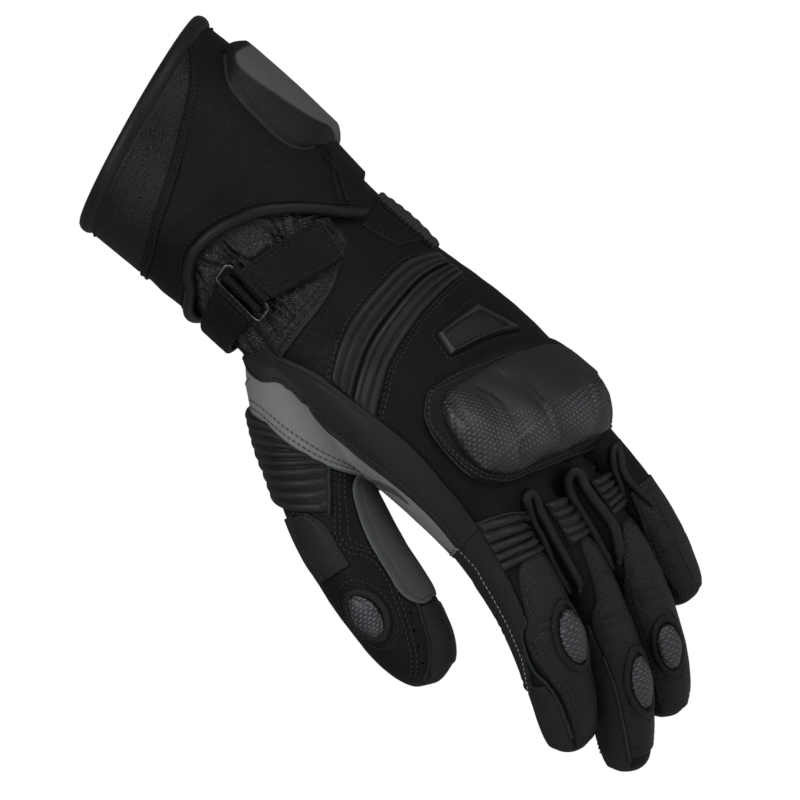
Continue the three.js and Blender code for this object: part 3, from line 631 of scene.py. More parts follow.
def leather(name, dark, light, grain=0.0011, rough=0.5, depth=0.00012, mottle=0.25, shine=0.14):
    """Grained leather: pebbles between fine creases, a soft mottle, and a painted highlight on the crests of
    its relief with painted shade in its grooves.
    """
    material, paint = finish(name)
    spot = paint.node("ShaderNodeTexCoord", output="Object")
    cells = {"Vector": spot, "Scale": 1 / grain, "Randomness": 0.95}
    crease = paint.node("ShaderNodeTexVoronoi", {"feature": "DISTANCE_TO_EDGE"}, cells)
    pebble = crease.between(0.0, 0.22)
    cloud = {"Vector": spot, "Scale": 55, "Detail": 3, "Roughness": 0.6}
    patchy = paint.node("ShaderNodeTexNoise", None, cloud)
    hair = {"Vector": spot, "Scale": 2.6 / grain, "Detail": 2}
    fine = paint.node("ShaderNodeTexNoise", None, hair)
    crest = paint.node("ShaderNodeAttribute", {"attribute_name": "crest"}, output="Fac")
    # Painted light and shade: the crest attribute, the relief's height, lightens raised parts and leaves
    # grooves and valleys dark.
    shade = 0.25 + pebble * 0.2 + (patchy - 0.5) * (4 * mottle) + crest * 0.55
    feed(material, "Base Color", shade.between(0, 1).blend(tint(dark), tint(light)))
    gloss = rough + (patchy - 0.5) * 0.35 + (0.5 - pebble) * 0.12 - crest * 0.06
    feed(material, "Roughness", gloss)
    bumped(material, paint, pebble * 0.75 + fine * 0.5, depth)
    surface_of(material)["Specular IOR Level"].default_value = shine
    return material


black_leather = leather("black_leather", (0.0026, 0.0024, 0.0025), (0.0088, 0.0082, 0.0084),
                        shine=0.11)
hand_leather.data.materials.append(black_leather)
for stall in stalls.values():
    stall.data.materials.append(black_leather)
for piece in (hand_leather, *stalls.values()):
    modified(piece, "SOLIDIFY", thickness=wall, offset=-1)
    smooth(piece, 60)
    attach(piece, "root")
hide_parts("hand_shell", "thumb_stall")
for name, stall in stalls.items():
    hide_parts(f"{name}_stall")

# The gauntlet cuff.
# One smooth piece of leather that flares over the forearm and overlaps the wrist with a
# curved flap. It stands off the wrist under it, so the flap's edge can lift.
binding_width = 0.0062
binding_thickness = 0.0046
seat_gap = 0.00045
flap_lift = wall + seat_gap


def cuff_top(turn):
    return mouth(turn) + (binding_width + 0.0003) / cuff_length


def cuff_lift(station, turn):
    share = (station - cuff_top(turn)) / (flap(turn) - cuff_top(turn))
    return flap_lift * np.clip(share / 0.75, 0, 1) ** 2


cuff_turns = np.arange(0, 360, 3.0)
cuff_shares = np.linspace(0, 1, 56)
share_grid, turn_grid = np.meshgrid(cuff_shares, cuff_turns, indexing="ij")
station_grid = mix(cuff_top(turn_grid) - 0.02, flap(turn_grid), share_grid)
cuff_outside = raised(sleeve, station_grid, turn_grid, cuff_lift(station_grid, turn_grid))
cuff_points, cuff_faces = plugged(cuff_outside)
cuff_leather = new_piece("cuff_leather", cuff_points, cuff_faces[:-2])
rumpled(cuff_leather, 0.00045, 0.02, 40)
cuff_form = tree_of([cuff_leather])
modified(cuff_leather, "SOLIDIFY", thickness=wall, offset=-1)
smooth(cuff_leather, 50)
cuff_leather.data.materials.append(black_leather)
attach(cuff_leather, "root")
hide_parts("cuff_shell")

# Binding round the cuff mouth, and the piping of the flap.
# Both are strips of soft, slightly glossy leather folded over and rolled, the binding over
# the cuff's edge and the piping over a cord that is sewn in under the flap.
trim_leather = leather("trim_leather", (0.0055, 0.0056, 0.006), (0.018, 0.0185, 0.0198), rough=0.4,
                       grain=0.0008, depth=0.00006, mottle=0.15)


def rolled(name, points, ups, high, wide, sides=14, closed=False, swell=None):
    """A roll of leather along points, each with its own direction outwards."""
    points, ups = np.asarray(points), np.asarray(ups)
    if closed:
        along = unit(np.roll(points, -1, 0) - np.roll(points, 1, 0))
    else:
        along = unit(np.gradient(points, axis=0))
    out = unit(ups - along * (ups * along).sum(1)[:, None])
    across = np.cross(along, out)
    size = np.ones(len(points)) if swell is None else swell
    around = np.radians(np.arange(sides) * 360 / sides)
    rings = points[:, None] + size[:, None, None] * (
        high * np.cos(around)[None, :, None] * out[:, None]
        + wide * np.sin(around)[None, :, None] * across[:, None]
    )
    verts, faces = plugged(rings)
    if closed:
        count = len(points)
        faces = faces[:-2]
        for c in range(sides):
            d = (c + 1) % sides
            faces.append(((count - 1) * sides + c, (count - 1) * sides + d, d, c))
    piece = new_piece(name, verts, faces)
    outward(piece)
    smooth(piece, 70)
    return piece


def spots_on(place, station, turn, lift):
    """Points of a line on a surface and their directions outwards."""
    station, turn = np.broadcast_arrays(np.asarray(station, float), np.asarray(turn, float))
    low = raised(place, station, turn, lift)
    return low, unit(raised(place, station, turn, lift + 0.001) - low)


binding_turns = np.arange(0, 360, 2.5)
binding_middle = mouth(binding_turns) + (binding_width / 2 + 0.0009) / cuff_length
points, ups = spots_on(sleeve, binding_middle, binding_turns, -wall / 2)
cuff_binding = rolled("binding", points, ups, binding_thickness / 2, binding_width / 2, closed=True)
piping_radius = 0.0021
piping_turns = np.linspace(-9, 196, 150)
piping_station = flap(piping_turns) + (piping_radius + 0.0003) / cuff_length
points, ups = spots_on(sleeve, piping_station, piping_turns, piping_radius + seat_gap)
ends = np.clip(np.minimum(np.arange(150), 149 - np.arange(150)) / 6, 0.25, 1) ** 0.5
flap_roll = rolled("flap_roll", points, ups, piping_radius, piping_radius, swell=ends)
for piece, node in ((cuff_binding, "cuff_binding"), (flap_roll, "flap_piping")):
    piece.data.materials.append(trim_leather)
    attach(piece, "root")
    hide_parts(node)

# Perforated band of the cuff.
# A strip of leather between the binding and a slanting seam, punched with small holes on
# its thumb side, glued down and sewn with two rows of black thread.
edge_lines = np.array([0, 0.35, 0.9, 1.5, 2.1, 2.7, 3.3, 3.9, 4.6]) / 1000
groove_lines = (3, 6)
groove_depth = 0.0003


def grid_lines(total, pitch):
    """Places of the grid's lines over a length: close at both rims, wider between."""
    rim = edge_lines if total > 0.012 else edge_lines * (total / 0.012)
    middle = total - 2 * rim[-1]
    inner = np.linspace(0, 1, max(int(middle / pitch), 2) + 1)[1:-1] * middle + rim[-1]
    return np.concatenate([rim, inner, (total - rim)[::-1]]) / total


def run(points):
    return np.linalg.norm(np.diff(points, axis=0), axis=-1).sum(0)


class Sheet:
    """A piece of leather laid on the glove: its grid of points, their outward arrows and
    its width and length."""


def laid(name, place, table, thick, relief=None, pitch=0.0013, form=None, lift=0.0,
         sunk=0.0005, grooves=(), settle=2, edge_drop=0.00022, facing=None, marks=None,
         cast=False, relaid=None, soften=0):
    """A piece of leather on a surface. Each row of its table has two ends, and the rows
    follow each other down the piece. Relief raises its face."""
    stretch = np.column_stack([np.linspace(0, 1, len(table)), np.array(table, float)])

    def spot(v, u):
        s0, t0, s1, t1 = np.moveaxis(eased(stretch, v), -1, 0)
        return mix(s0, s1, u), mix(t0, t1, u)

    rough_v, rough_u = np.meshgrid(np.linspace(0, 1, 17), np.linspace(0, 1, 17), indexing="ij")
    rough = place(*spot(rough_v, rough_u))
    length = run(rough).mean()
    width = run(rough.swapaxes(0, 1)).mean()
    v, u = np.meshgrid(grid_lines(length, pitch), grid_lines(width, pitch), indexing="ij")
    ground = place(*spot(v, u))
    if facing is None:
        hint = unit(raised(place, *spot(v, u), np.full(v.shape, 0.001)) - ground)
    else:
        hint = np.array(facing)
    if cast:
        arrows = hint.reshape(-1, 3)
        seated = [onto(form, p, arrow) for p, arrow in zip(ground.reshape(-1, 3), arrows)]
        ground = np.array([hit[0] for hit in seated]).reshape(ground.shape)
    elif form is not None:
        seated = [form.find_nearest(Vector(p)) for p in ground.reshape(-1, 3)]
        ground = np.array([hit[0] for hit in seated]).reshape(ground.shape)
    for _ in range(settle):
        inner = (ground[:-2, 1:-1] + ground[2:, 1:-1] + ground[1:-1, :-2] + ground[1:-1, 2:]) / 4
        ground[1:-1, 1:-1] = mix(ground[1:-1, 1:-1], inner, 0.6)
        for rim_line in (ground[0], ground[-1], ground[:, 0], ground[:, -1]):
            rim_line[1:-1] = mix(rim_line[1:-1], (rim_line[:-2] + rim_line[2:]) / 2, 0.6)
    up = unit(np.cross(np.gradient(ground, axis=0), np.gradient(ground, axis=1)))
    up = up * np.sign((up * hint).sum(-1, keepdims=True))
    for _ in range(soften):
        up[1:-1] = (up[:-2] + 2 * up[1:-1] + up[2:]) / 4
        up[:, 1:-1] = (up[:, :-2] + 2 * up[:, 1:-1] + up[:, 2:]) / 4
    up = unit(up)
    sides = np.stack([u * width, (1 - u) * width, v * length, (1 - v) * length], -1)
    rim = sides.min(-1)
    height = np.full(v.shape, thick)
    crest = np.zeros(v.shape)
    if relief is not None:
        crest = relief(u, v, sides)
        height = height + crest
    for line in grooves:
        height = height - groove_depth * np.exp(-((rim - edge_lines[line]) / 0.00045) ** 2)
    height = height - edge_drop * np.clip(1 - rim / 0.0006, 0, 1) ** 2
    rows, cols = v.shape
    top = ground + up * (lift + height)[..., None]
    under = ground + up * (lift - sunk)
    faces, sheet = [], Sheet()
    flip = (np.cross(top[1, 0] - top[0, 0], top[0, 1] - top[0, 0]) * up[0, 0]).sum() < 0

    def corner(r, c, below=0):
        return below * rows * cols + r * cols + c

    for r in range(rows - 1):
        for c in range(cols - 1):
            faces.append((corner(r, c), corner(r + 1, c), corner(r + 1, c + 1), corner(r, c + 1)))
    for r in range(rows - 1):
        for c in range(cols - 1):
            low = (corner(r, c, 1), corner(r, c + 1, 1), corner(r + 1, c + 1, 1), corner(r + 1, c, 1))
            faces.append(low)
    loop = [(0, c) for c in range(cols)] + [(r, cols - 1) for r in range(1, rows)]
    loop += [(rows - 1, c) for c in range(cols - 2, -1, -1)]
    loop += [(r, 0) for r in range(rows - 2, 0, -1)]
    for (r, c), (s, d) in zip(loop, loop[1:] + loop[:1]):
        faces.append((corner(r, c), corner(s, d), corner(s, d, 1), corner(r, c, 1)))
    if flip:
        faces = [face[::-1] for face in faces]
    piece = new_piece(name, np.concatenate([top.reshape(-1, 3), under.reshape(-1, 3)]), faces)
    cells = (rows - 1) * (cols - 1)
    cut = np.zeros(len(faces), np.int32)
    cut[2 * cells:] = 1
    piece.data.polygons.foreach_set("material_index", cut)
    # The relief's height from 0 to 1. Finishes read it to paint light on raised parts and shade in the low
    # ones.
    crests = piece.data.attributes.new("crest", "FLOAT", "POINT")
    most = max(crest.max(), 1e-9)
    flat = np.concatenate([(crest / most).ravel() if crest.max() > 0 else crest.ravel()] * 2)
    crests.data.foreach_set("value", flat.astype(np.float32))
    if marks is not None:
        marked = piece.data.attributes.new("mark", "FLOAT", "POINT")
        flat = np.concatenate([marks(u, v, sides).ravel()] * 2)
        marked.data.foreach_set("value", flat.astype(np.float32))
    weave = piece.data.uv_layers.new(name="weave")
    flat_at = np.stack([u * width, v * length], -1) if relaid is None else relaid(*spot(v, u))
    at = np.tile(flat_at.reshape(-1, 2), (2, 1))
    corners = np.array([k for face in piece.data.polygons for k in face.vertices])
    weave.data.foreach_set("uv", at[corners].astype(np.float32).ravel())
    smooth(piece, 42)
    sheet.piece, sheet.top, sheet.up, sheet.under = piece, top, up, ground
    sheet.width, sheet.length = width, length
    return sheet


cut_edge, edge_paint = finish("cut_edge")
edge_object = edge_paint.node("ShaderNodeTexCoord", output="Object")
edge_fibre = edge_paint.node("ShaderNodeTexNoise", None, {"Vector": edge_object, "Scale": 2600})
feed(cut_edge, "Base Color", edge_fibre.blend(tint((0.006, 0.0065, 0.007)), tint((0.03, 0.033, 0.036))))
surface_of(cut_edge)["Roughness"].default_value = 0.75
bumped(cut_edge, edge_paint, edge_fibre, 0.00015)


def dressed(sheet, finish_used, nodes=(), edge=None):
    """Gives a laid piece its finish and edge, and seats it in the frame."""
    sheet.piece.data.materials.append(finish_used)
    sheet.piece.data.materials.append(edge or cut_edge)
    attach(sheet.piece, "root")
    if nodes:
        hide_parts(*nodes)
    return sheet


threads = {}


def sewn(thread, points, ups, pitch=0.0021, length=0.00155, thick=0.00024):
    """A row of stitches along a line. They are gathered here and made at the end."""
    points, ups = np.asarray(points), np.asarray(ups)
    steps = np.linalg.norm(np.diff(points, axis=0), axis=1)
    reach = np.concatenate([[0], np.cumsum(steps)])
    count = int(reach[-1] / pitch)
    if count < 1:
        return
    middles = (np.arange(count) + 0.5) * (reach[-1] / count)
    centre = np.stack([np.interp(middles, reach, points[:, k]) for k in range(3)], -1)
    ahead = np.stack([np.interp(middles + 0.0002, reach, points[:, k]) for k in range(3)], -1)
    back = np.stack([np.interp(middles - 0.0002, reach, points[:, k]) for k in range(3)], -1)
    up = unit(np.stack([np.interp(middles, reach, ups[:, k]) for k in range(3)], -1))
    along = unit(ahead - back)
    across = np.cross(along, up)
    shape = []
    for share, size in ((-0.5, 0.35), (-0.28, 1), (0.28, 1), (0.5, 0.35)):
        for k in range(6):
            round_it = math.radians(60 * k)
            shape.append((share * length, size * thick * math.cos(round_it),
                          size * thick * math.sin(round_it)))
    shape = np.array(shape)
    slant = 0.14
    heading = unit(along + across * slant)
    beside = np.cross(up, heading)
    made = (centre[:, None] + shape[None, :, :1] * heading[:, None]
            + shape[None, :, 1:2] * beside[:, None] + shape[None, :, 2:] * up[:, None])
    threads.setdefault(thread, []).append(made)


def line_of(sheet, side, inset):
    """One grid line of a sheet along a side: across at its start or end, or down a side."""
    first, last = inset, -1 - inset
    rows = {"start": (first, slice(first, last)), "end": (last, slice(first, last))}
    cols = {"near": (slice(first, last), first), "far": (slice(first, last), last)}
    pick = {**rows, **cols}[side]
    return sheet.top[pick], sheet.up[pick]


def hemmed(sheet, thread, sides=("start", "end", "near", "far"), lines=(3,), **stitch):
    """Rows of stitches along some sides of a sheet."""
    for side in sides:
        for inset in lines:
            points, ups = line_of(sheet, side, inset)
            sewn(thread, points + ups * 0.00008, ups, **stitch)


def made_of(piece, finish_used):
    piece.data.materials.append(finish_used)
    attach(piece, "root")
    return piece


def raw_edge(name, line, finish_used, wide=0.0006, high=0.0005):
    """The raw edge of a piece of leather, as a thin strip along a line."""
    points, ups = line
    return made_of(rolled(name, points, ups, high, wide, sides=8), finish_used)


def double_seam(thread, line, offsets=(-0.0009, 0.0009), **stitch):
    """Rows of stitches on both sides of a line."""
    points, ups = line
    across = unit(np.cross(np.gradient(points, axis=0), ups))
    for offset in offsets:
        sewn(thread, points + across * offset, ups, **stitch)


hole_shadow, shadow_paint = finish("hole_shadow")
shadow_object = shadow_paint.node("ShaderNodeTexCoord", output="Object")
shadow_noise = shadow_paint.node("ShaderNodeTexNoise", None, {"Vector": shadow_object, "Scale": 900})
feed(hole_shadow, "Base Color", shadow_noise.blend(tint((0.0005,) * 3), tint((0.0015,) * 3)))
surface_of(hole_shadow)["Roughness"].default_value = 0.9
surface_of(hole_shadow)["Specular IOR Level"].default_value = 0.0


def pricked(name, points, ups, radius=0.00042):
    """Small round holes punched in the leather, as dark discs flush with its face."""
    verts, faces = [], []
    for point, up in zip(points, ups):
        side = unit(np.cross(up, (0.3, 0.5, 0.8)))
        other = np.cross(up, side)
        start = len(verts)
        for below in (1, -1):
            for step in range(8):
                angle = math.radians(45 * step)
                arm = side * math.cos(angle) + other * math.sin(angle)
                verts.append(point + arm * radius + up * 0.00008 * below)
        faces.append(tuple(start + k for k in range(8)))
        faces.append(tuple(start + 15 - k for k in range(8)))
        for k in range(8):
            n = (k + 1) % 8
            faces.append((start + k, start + 8 + k, start + 8 + n, start + n))
    piece = new_piece(name, verts, faces)
    outward(piece)
    return made_of(piece, hole_shadow)


blue_edge = leather("blue_edge", (0.008, 0.0115, 0.013), (0.035, 0.043, 0.048), rough=0.6,
                    grain=0.0005, depth=0.0001)
fine_stitch = {"pitch": 0.0019, "length": 0.00135, "thick": 0.0002}

band_rows = [
    # turn, station of the seam
    (-8, 0.0), (3, 0.087), (17, 0.18), (32, 0.256), (48, 0.332), (63, 0.387), (80, 0.431),
    (96, 0.471), (130, 0.48), (180, 0.44), (250, 0.3), (275, 0.15),
]
band_turns = np.linspace(-6, 270, 24)
band_seam = eased(band_rows, band_turns)[:, 0]
band_top = mouth(band_turns) + (binding_width + 0.0002) / cuff_length
band_table = [(top, turn, seam, turn) for top, turn, seam in zip(band_top, band_turns, band_seam)]


def perforated(name, base):
    """Black leather, punched with staggered holes in rows 4.6 mm apart. Each hole is painted near black as its
    shade, with a painted highlight in a ring round its rim.
    """
    material = base.copy()
    material.name = name
    tree = material.node_tree
    paint = Wire(tree)
    where = paint.node("ShaderNodeUVMap", {"uv_map": "weave"})
    across = paint.node("ShaderNodeSeparateXYZ", None, {0: where}, output=0)
    down = paint.node("ShaderNodeSeparateXYZ", None, {0: where}, output=1)
    pitch = 0.0046
    row = (across * (1 / pitch)).sum("FLOOR", across * (1 / pitch))
    shifted = down * (1 / pitch) + row * 0.5
    right = (across * (1 / pitch)).sum("FRACT", across * (1 / pitch)) - 0.5
    low = shifted.sum("FRACT", shifted) - 0.5
    away = (right * right + low * low).sum("SQRT", right * right + low * low)
    # Painted shade: the inside of each hole is painted near black.
    hole = 1 - away.between(0.085, 0.12)
    # Painted highlight: a lighter ring round each hole's rim.
    ring = away.between(0.1, 0.13) * (1 - away.between(0.14, 0.18))
    inside = (across.between(0.004, 0.0045)) * (1 - down.between(0.125, 0.16))
    hole, ring = hole * inside, ring * inside
    shader = surface_of(material)
    colour = Wire(tree, shader["Base Color"].links[0].from_socket)
    highlight_rimmed = (ring * 0.35).blend(colour, tint((0.035, 0.033, 0.031)))
    feed(material, "Base Color", hole.blend(highlight_rimmed, tint((0.001, 0.001, 0.001))))
    bump = shader["Normal"].links[0].from_node
    height = Wire(tree, bump.inputs["Height"].links[0].from_socket)
    tree.links.new((height - hole * 3).socket, bump.inputs["Height"])
    return material


band_leather = leather("band_leather", (0.0045, 0.0042, 0.0042), (0.0155, 0.0147, 0.0147),
                       shine=0.16, rough=0.46)
punched_leather = perforated("punched_leather", band_leather)
cuff_band = laid("cuff_band_leather", sleeve, band_table, 0.0004, form=cuff_form)
dressed(cuff_band, punched_leather, ("cuff_band",), blue_edge)
seam_table = [
    (seam + 0.0009 / cuff_length, turn, seam + 0.0035 / cuff_length, turn)
    for turn, seam in zip(band_turns, band_seam)
]
seam_tape = laid("cuff_seam_leather", sleeve, seam_table, 0.0007, form=cuff_form)
dressed(seam_tape, black_leather, (), blue_edge)
hemmed(seam_tape, "cuff_thread", ("near", "far"), (3,), thick=0.0003)
for first, last, high in ((-4, 268, 0.0005), (274, 352, 0.0001)):
    seam_turns = np.linspace(first, last, 200)
    station = mouth(seam_turns) + (binding_width + 0.0020) / cuff_length
    points, ups = spots_on(sleeve, station, seam_turns, high)
    sewn("cuff_thread", points, ups, thick=0.0003)
above = np.linspace(-6, 190, 160)
points, ups = spots_on(sleeve, flap(above) - 0.001 / cuff_length, above, flap_lift + 0.0003)
sewn("cuff_thread", points, ups, thick=0.0003)

# Protector on the outer side of the cuff.
# A pad of moulded rubber foam with flat faces that meet in a ridge, glued on and sewn
# along its edge. Its printed mark is left out, and the outer face is plain.
pad_table = [
    # station, turn on the back side, station, turn on the palm side
    (0.13, -26, 0.12, -74),
    (0.19, -15, 0.19, -80),
    (0.272, -4, 0.27, -82),
    (0.382, 0, 0.38, -83),
    (0.5, 1, 0.5, -82),
    (0.617, 1, 0.62, -80),
    (0.705, -4, 0.71, -76),
    (0.76, -20, 0.77, -66),
]


def pad_ridge(v):
    return np.interp(v, (0, 0.22, 1), (0.04, 0.05, 0.36))


def pad_roof(u, v, sides):
    """Flat faces that rise from the edge to a ridge and fall again behind it."""
    ridge = pad_ridge(v)
    near = np.minimum(sides[..., 0] / 0.0012, 1) * 0.3 + 0.7 * u / ridge
    far = 1 - 0.25 * (u - ridge) / (1 - ridge)
    ends = np.minimum.reduce([v / 0.1, (1 - v) / 0.14, (1 - u) / 0.1, np.ones(u.shape)])
    return 0.0042 * np.clip(np.minimum(near, far), 0, 1) * np.clip(ends, 0, 1) ** 0.7


def pad_faces(u, v, sides):
    """The light face: behind the ridge and past the pad's dark upper corner."""
    return np.clip((u - pad_ridge(v)) / 0.02 + 0.5, 0, 1) * np.clip((v - 0.16) / 0.02, 0, 1)


def moulded_rubber(name):
    """Matt moulded rubber, black on the face to the back of the hand, grey behind it."""
    material, paint = finish(name)
    spot = paint.node("ShaderNodeTexCoord", output="Object")
    speck = paint.node("ShaderNodeTexNoise", None, {"Vector": spot, "Scale": 1500, "Detail": 2})
    cloud = paint.node("ShaderNodeTexNoise", None, {"Vector": spot, "Scale": 40})
    grey = paint.node("ShaderNodeAttribute", {"attribute_name": "mark"}, output="Fac")
    dark = cloud.blend(tint((0.0045, 0.0041, 0.0038)), tint((0.009, 0.0083, 0.0078)))
    light = cloud.blend(tint((0.065, 0.065, 0.068)), tint((0.1, 0.1, 0.104)))
    feed(material, "Base Color", grey.blend(dark, light))
    feed(material, "Roughness", 0.5 + speck * 0.2)
    bumped(material, paint, speck, 0.00012)
    surface_of(material)["Specular IOR Level"].default_value = 0.2
    return material


pad_rubber = moulded_rubber("pad_rubber")
cuff_pad = laid("cuff_pad_rubber", sleeve, pad_table, 0.0009, pad_roof, form=cuff_form,
                pitch=0.0009, settle=3, marks=pad_faces)
dressed(cuff_pad, pad_rubber, ("cuff_pad",), pad_rubber)
pad_edge = cuff_pad.top[8:-6, 0], cuff_pad.up[8:-6, 0]
raw_edge("pad_raw_edge", (pad_edge[0] - pad_edge[1] * 0.0006, pad_edge[1]), blue_edge, wide=0.0007)
sewn("pad_thread", pad_edge[0] - pad_edge[1] * 0.0001, pad_edge[1], pitch=0.0011, length=0.001)
fold_rows = {
    "pad_fold": [(0.8, -12), (0.838, -15), (0.884, -9), (0.967, -2), (1.01, 0)],
    "side_fold": [(0.79, -22), (0.831, -18), (0.914, -11), (1.01, -3)],
}
for name, rows in fold_rows.items():
    made_of(rolled(name, *line_on(sleeve, rows, cuff_form, -0.0001), 0.0008, 0.001, sides=10),
            black_leather)

# The wrist: gathered leather, strap, tab and ring.
# Soft leather is gathered on elastic between the flap and a cross seam. A folded strap runs
# from the palm side through a dark wire ring to a tab that is stitched down all round.
shirring_rows = [
    # turn, station of the cross seam
    (12, 1.1), (26, 1.149), (34, 1.174), (46, 1.19), (61, 1.193), (94, 1.19), (108, 1.17),
]
shirring_turns = np.linspace(11, 107, 16)
shirring_seam = eased(shirring_rows, shirring_turns)[:, 0]
shirring_top = flap(shirring_turns) + 0.012
shirring_table = [
    (top, turn, seam, turn)
    for top, turn, seam in zip(shirring_top, shirring_turns, shirring_seam)
]


def gathers(u, v, sides):
    """Uneven folds that run down the wrist, deepest halfway."""
    folds = np.zeros(u.shape)
    for index, (a, b) in enumerate(zip(u.ravel(), v.ravel())):
        bend = noise.noise(Vector((a * 2.5, b * 7, 3.0))) * 1.3
        tilt = noise.noise(Vector((a * 5, b * 11, 8.0)))
        wave = math.sin(math.pi * (25 * b + bend * 3)) * 0.5 + 0.5
        folds.ravel()[index] = (wave ** 0.8) * (0.75 + 0.7 * tilt)
    return 0.0017 * folds * np.clip(5 * u, 0.2, 1) * np.clip(5 * (1 - u), 0.2, 1)


soft_leather = leather("soft_leather", (0.002, 0.0019, 0.0018), (0.0095, 0.0089, 0.0084), rough=0.36,
                       grain=0.0009, depth=0.00016, mottle=0.4, shine=0.3)
wrist_gathers = laid("wrist_gathers", sleeve, shirring_table, 0.0008, gathers, pitch=0.0008,
                     form=hand_form)
dressed(wrist_gathers, soft_leather, ("wrist_shirring",))
hemmed(wrist_gathers, "wrist_thread", ("far",), (3, 6), thick=0.0003)
points, ups = wrist_gathers.top[1:-1, -1], wrist_gathers.up[1:-1, -1]
raw_edge("gathers_edge", (points - ups * 0.0003, ups), blue_edge)

strap_lift = 0.0024
strap_thickness = 0.0018
tab_table = [
    # upper station, turn, lower station, turn
    (0.862, 67, 1.048, 64.5),
    (0.912, 45, 1.098, 44),
    (0.985, 18, 1.14, 22),
]
strap_table = [
    # upper station, turn, lower station, turn
    (0.83, 83, 1.035, 84),
    (0.84, 97, 1.03, 96),
    (0.855, 120, 1.02, 120),
    (0.885, 150, 1.01, 150),
    (0.9, 190, 1, 190),
]
strap_tab = laid("tab_leather", sleeve, tab_table, strap_thickness, lift=strap_lift,
                 sunk=0.0002, grooves=(4,), edge_drop=0.0005)
dressed(strap_tab, black_leather, ("strap_tab",), black_leather)
hemmed(strap_tab, "wrist_thread", lines=(4,), thick=0.0003)
points, ups = line_of(strap_tab, "end", 0)
raw_edge("tab_edge", (points - ups * 0.0002, ups), blue_edge, wide=0.0004)
wrist_strap = laid("strap_leather", sleeve, strap_table, strap_thickness, lift=strap_lift,
                   sunk=0.0002, grooves=(4,), edge_drop=0.0005)
dressed(wrist_strap, black_leather, ("wrist_strap",), black_leather)
hemmed(wrist_strap, "wrist_thread", ("near", "far", "start"), (4,))


def dark_nickel(name):
    material, paint = finish(name)
    spot = paint.node("ShaderNodeTexCoord", output="Object")
    wear = paint.node("ShaderNodeTexNoise", None, {"Vector": spot, "Scale": 700, "Detail": 4})
    feed(material, "Base Color", wear.blend(tint((0.03, 0.031, 0.034)), tint((0.12, 0.122, 0.13))))
    feed(material, "Roughness", 0.2 + wear * 0.2)
    surface_of(material)["Metallic"].default_value = 1
    bumped(material, paint, wear, 0.00003)
    return material


nickel = dark_nickel("dark_nickel")
for name, turn in (("tab_loop", 67), ("inner_loop", 74), ("strap_loop", 82)):
    points, ups = spots_on(sleeve, np.linspace(0.835, 1.04, 24), np.full(24, turn), 0.0033)
    loop = rolled(name, points, ups, 0.0016, 0.0017)
    made_of(loop, black_leather)
ring_corners = [(0.803, 80), (0.803, 68), (1.062, 68.5), (1.062, 80)]
ring_points, ring_ups = [], []
for (s0, t0), (s1, t1) in zip(ring_corners, ring_corners[1:] + ring_corners[:1]):
    for share in (0.1, 0.2, 0.35, 0.5, 0.65, 0.8, 0.9):
        points, ups = spots_on(sleeve, mix(s0, s1, share), mix(t0, t1, share),
                               strap_lift + strap_thickness / 2)
        ring_points.append(points)
        ring_ups.append(ups)
wire_ring = rolled("wire_ring", ring_points, ring_ups, 0.00075, 0.00075, closed=True)
modified(wire_ring, "SUBSURF", levels=1, render_levels=1)
wire_ring.data.materials.append(nickel)
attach(wire_ring, "root")
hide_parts("strap_ring")

# The outer side of the wrist.
# A coarse stretch knit lets the wrist bend. A flap of leather with a raw edge covers the
# end of its seam on the back of the hand.


def knitted(name):
    """Coarse knit: columns of round loops that lean to and fro, with painted highlight on the loop tops and
    painted shade in the gaps between them.
    """
    material, paint = finish(name)
    where = paint.node("ShaderNodeUVMap", {"uv_map": "weave"})
    across = paint.node("ShaderNodeSeparateXYZ", None, {0: where}, output=0)
    down = paint.node("ShaderNodeSeparateXYZ", None, {0: where}, output=1)
    wale = across * (2 * math.pi / 0.0022)
    course = down * (2 * math.pi / 0.0017)
    lean = course + wale.sum("SINE", wale) * 1.4
    loop = lean.sum("SINE", lean) * 0.5 + 0.5
    column = wale.sum("COSINE", wale) * 0.5 + 0.5
    height = loop * (column * 0.7 + 0.3)
    # Painted light and shade: the colour follows the loops' height, light on their tops and dark in the gaps.
    feed(material, "Base Color", height.blend(tint((0.003, 0.003, 0.003)), tint((0.03, 0.03, 0.031))))
    surface_of(material)["Roughness"].default_value = 0.8
    bumped(material, paint, height, 0.0006)
    return material


knit = knitted("stretch_knit")
outer_table = [
    # station, turn on the back side, station, turn on the palm side
    (1.06, -31, 1.03, -94),
    (1.18, -34, 1.17, -98),
    (1.33, -37, 1.32, -94),
]


def bulged(u, v, sides):
    cords = 0.5 + 0.5 * np.sin(2 * math.pi * sides[..., 2] / 0.0042)
    return 0.0016 * np.sin(math.pi * u) * np.sin(math.pi * v) + 0.0004 * cords


outer_wrist = laid("outer_wrist_knit", sleeve, outer_table, 0.0012, bulged, pitch=0.001,
                   form=hand_form)
dressed(outer_wrist, knit, ("outer_wrist_panel",), knit)
flap_table = [
    # station, turn on the thumb side, station, turn on the outer side
    (1.105, -3, 1.09, -24),
    (1.18, -8, 1.18, -28),
    (1.25, -13, 1.28, -32),
]
wrist_flap = laid("outer_wrist_leather", sleeve, flap_table, 0.0012, form=hand_form, grooves=(4,))
dressed(wrist_flap, black_leather, ("outer_wrist_flap",))
hemmed(wrist_flap, "wrist_thread", lines=(4,))

# Stretch ribs on the back of the hand.
# A panel of soft leather is sewn over elastic cords, so that it stands up in six ribs
# across the hand and opens when the wrist bends.
back_rib_table = [
    # upper station, turn, lower station, turn
    (1.395, 72, 1.61, 66),
    (1.344, 56, 1.56, 50),
    (1.306, 37, 1.515, 36),
    (1.296, 15, 1.482, 14),
    (1.3, -8, 1.468, -6),
    (1.36, -33, 1.47, -34),
]


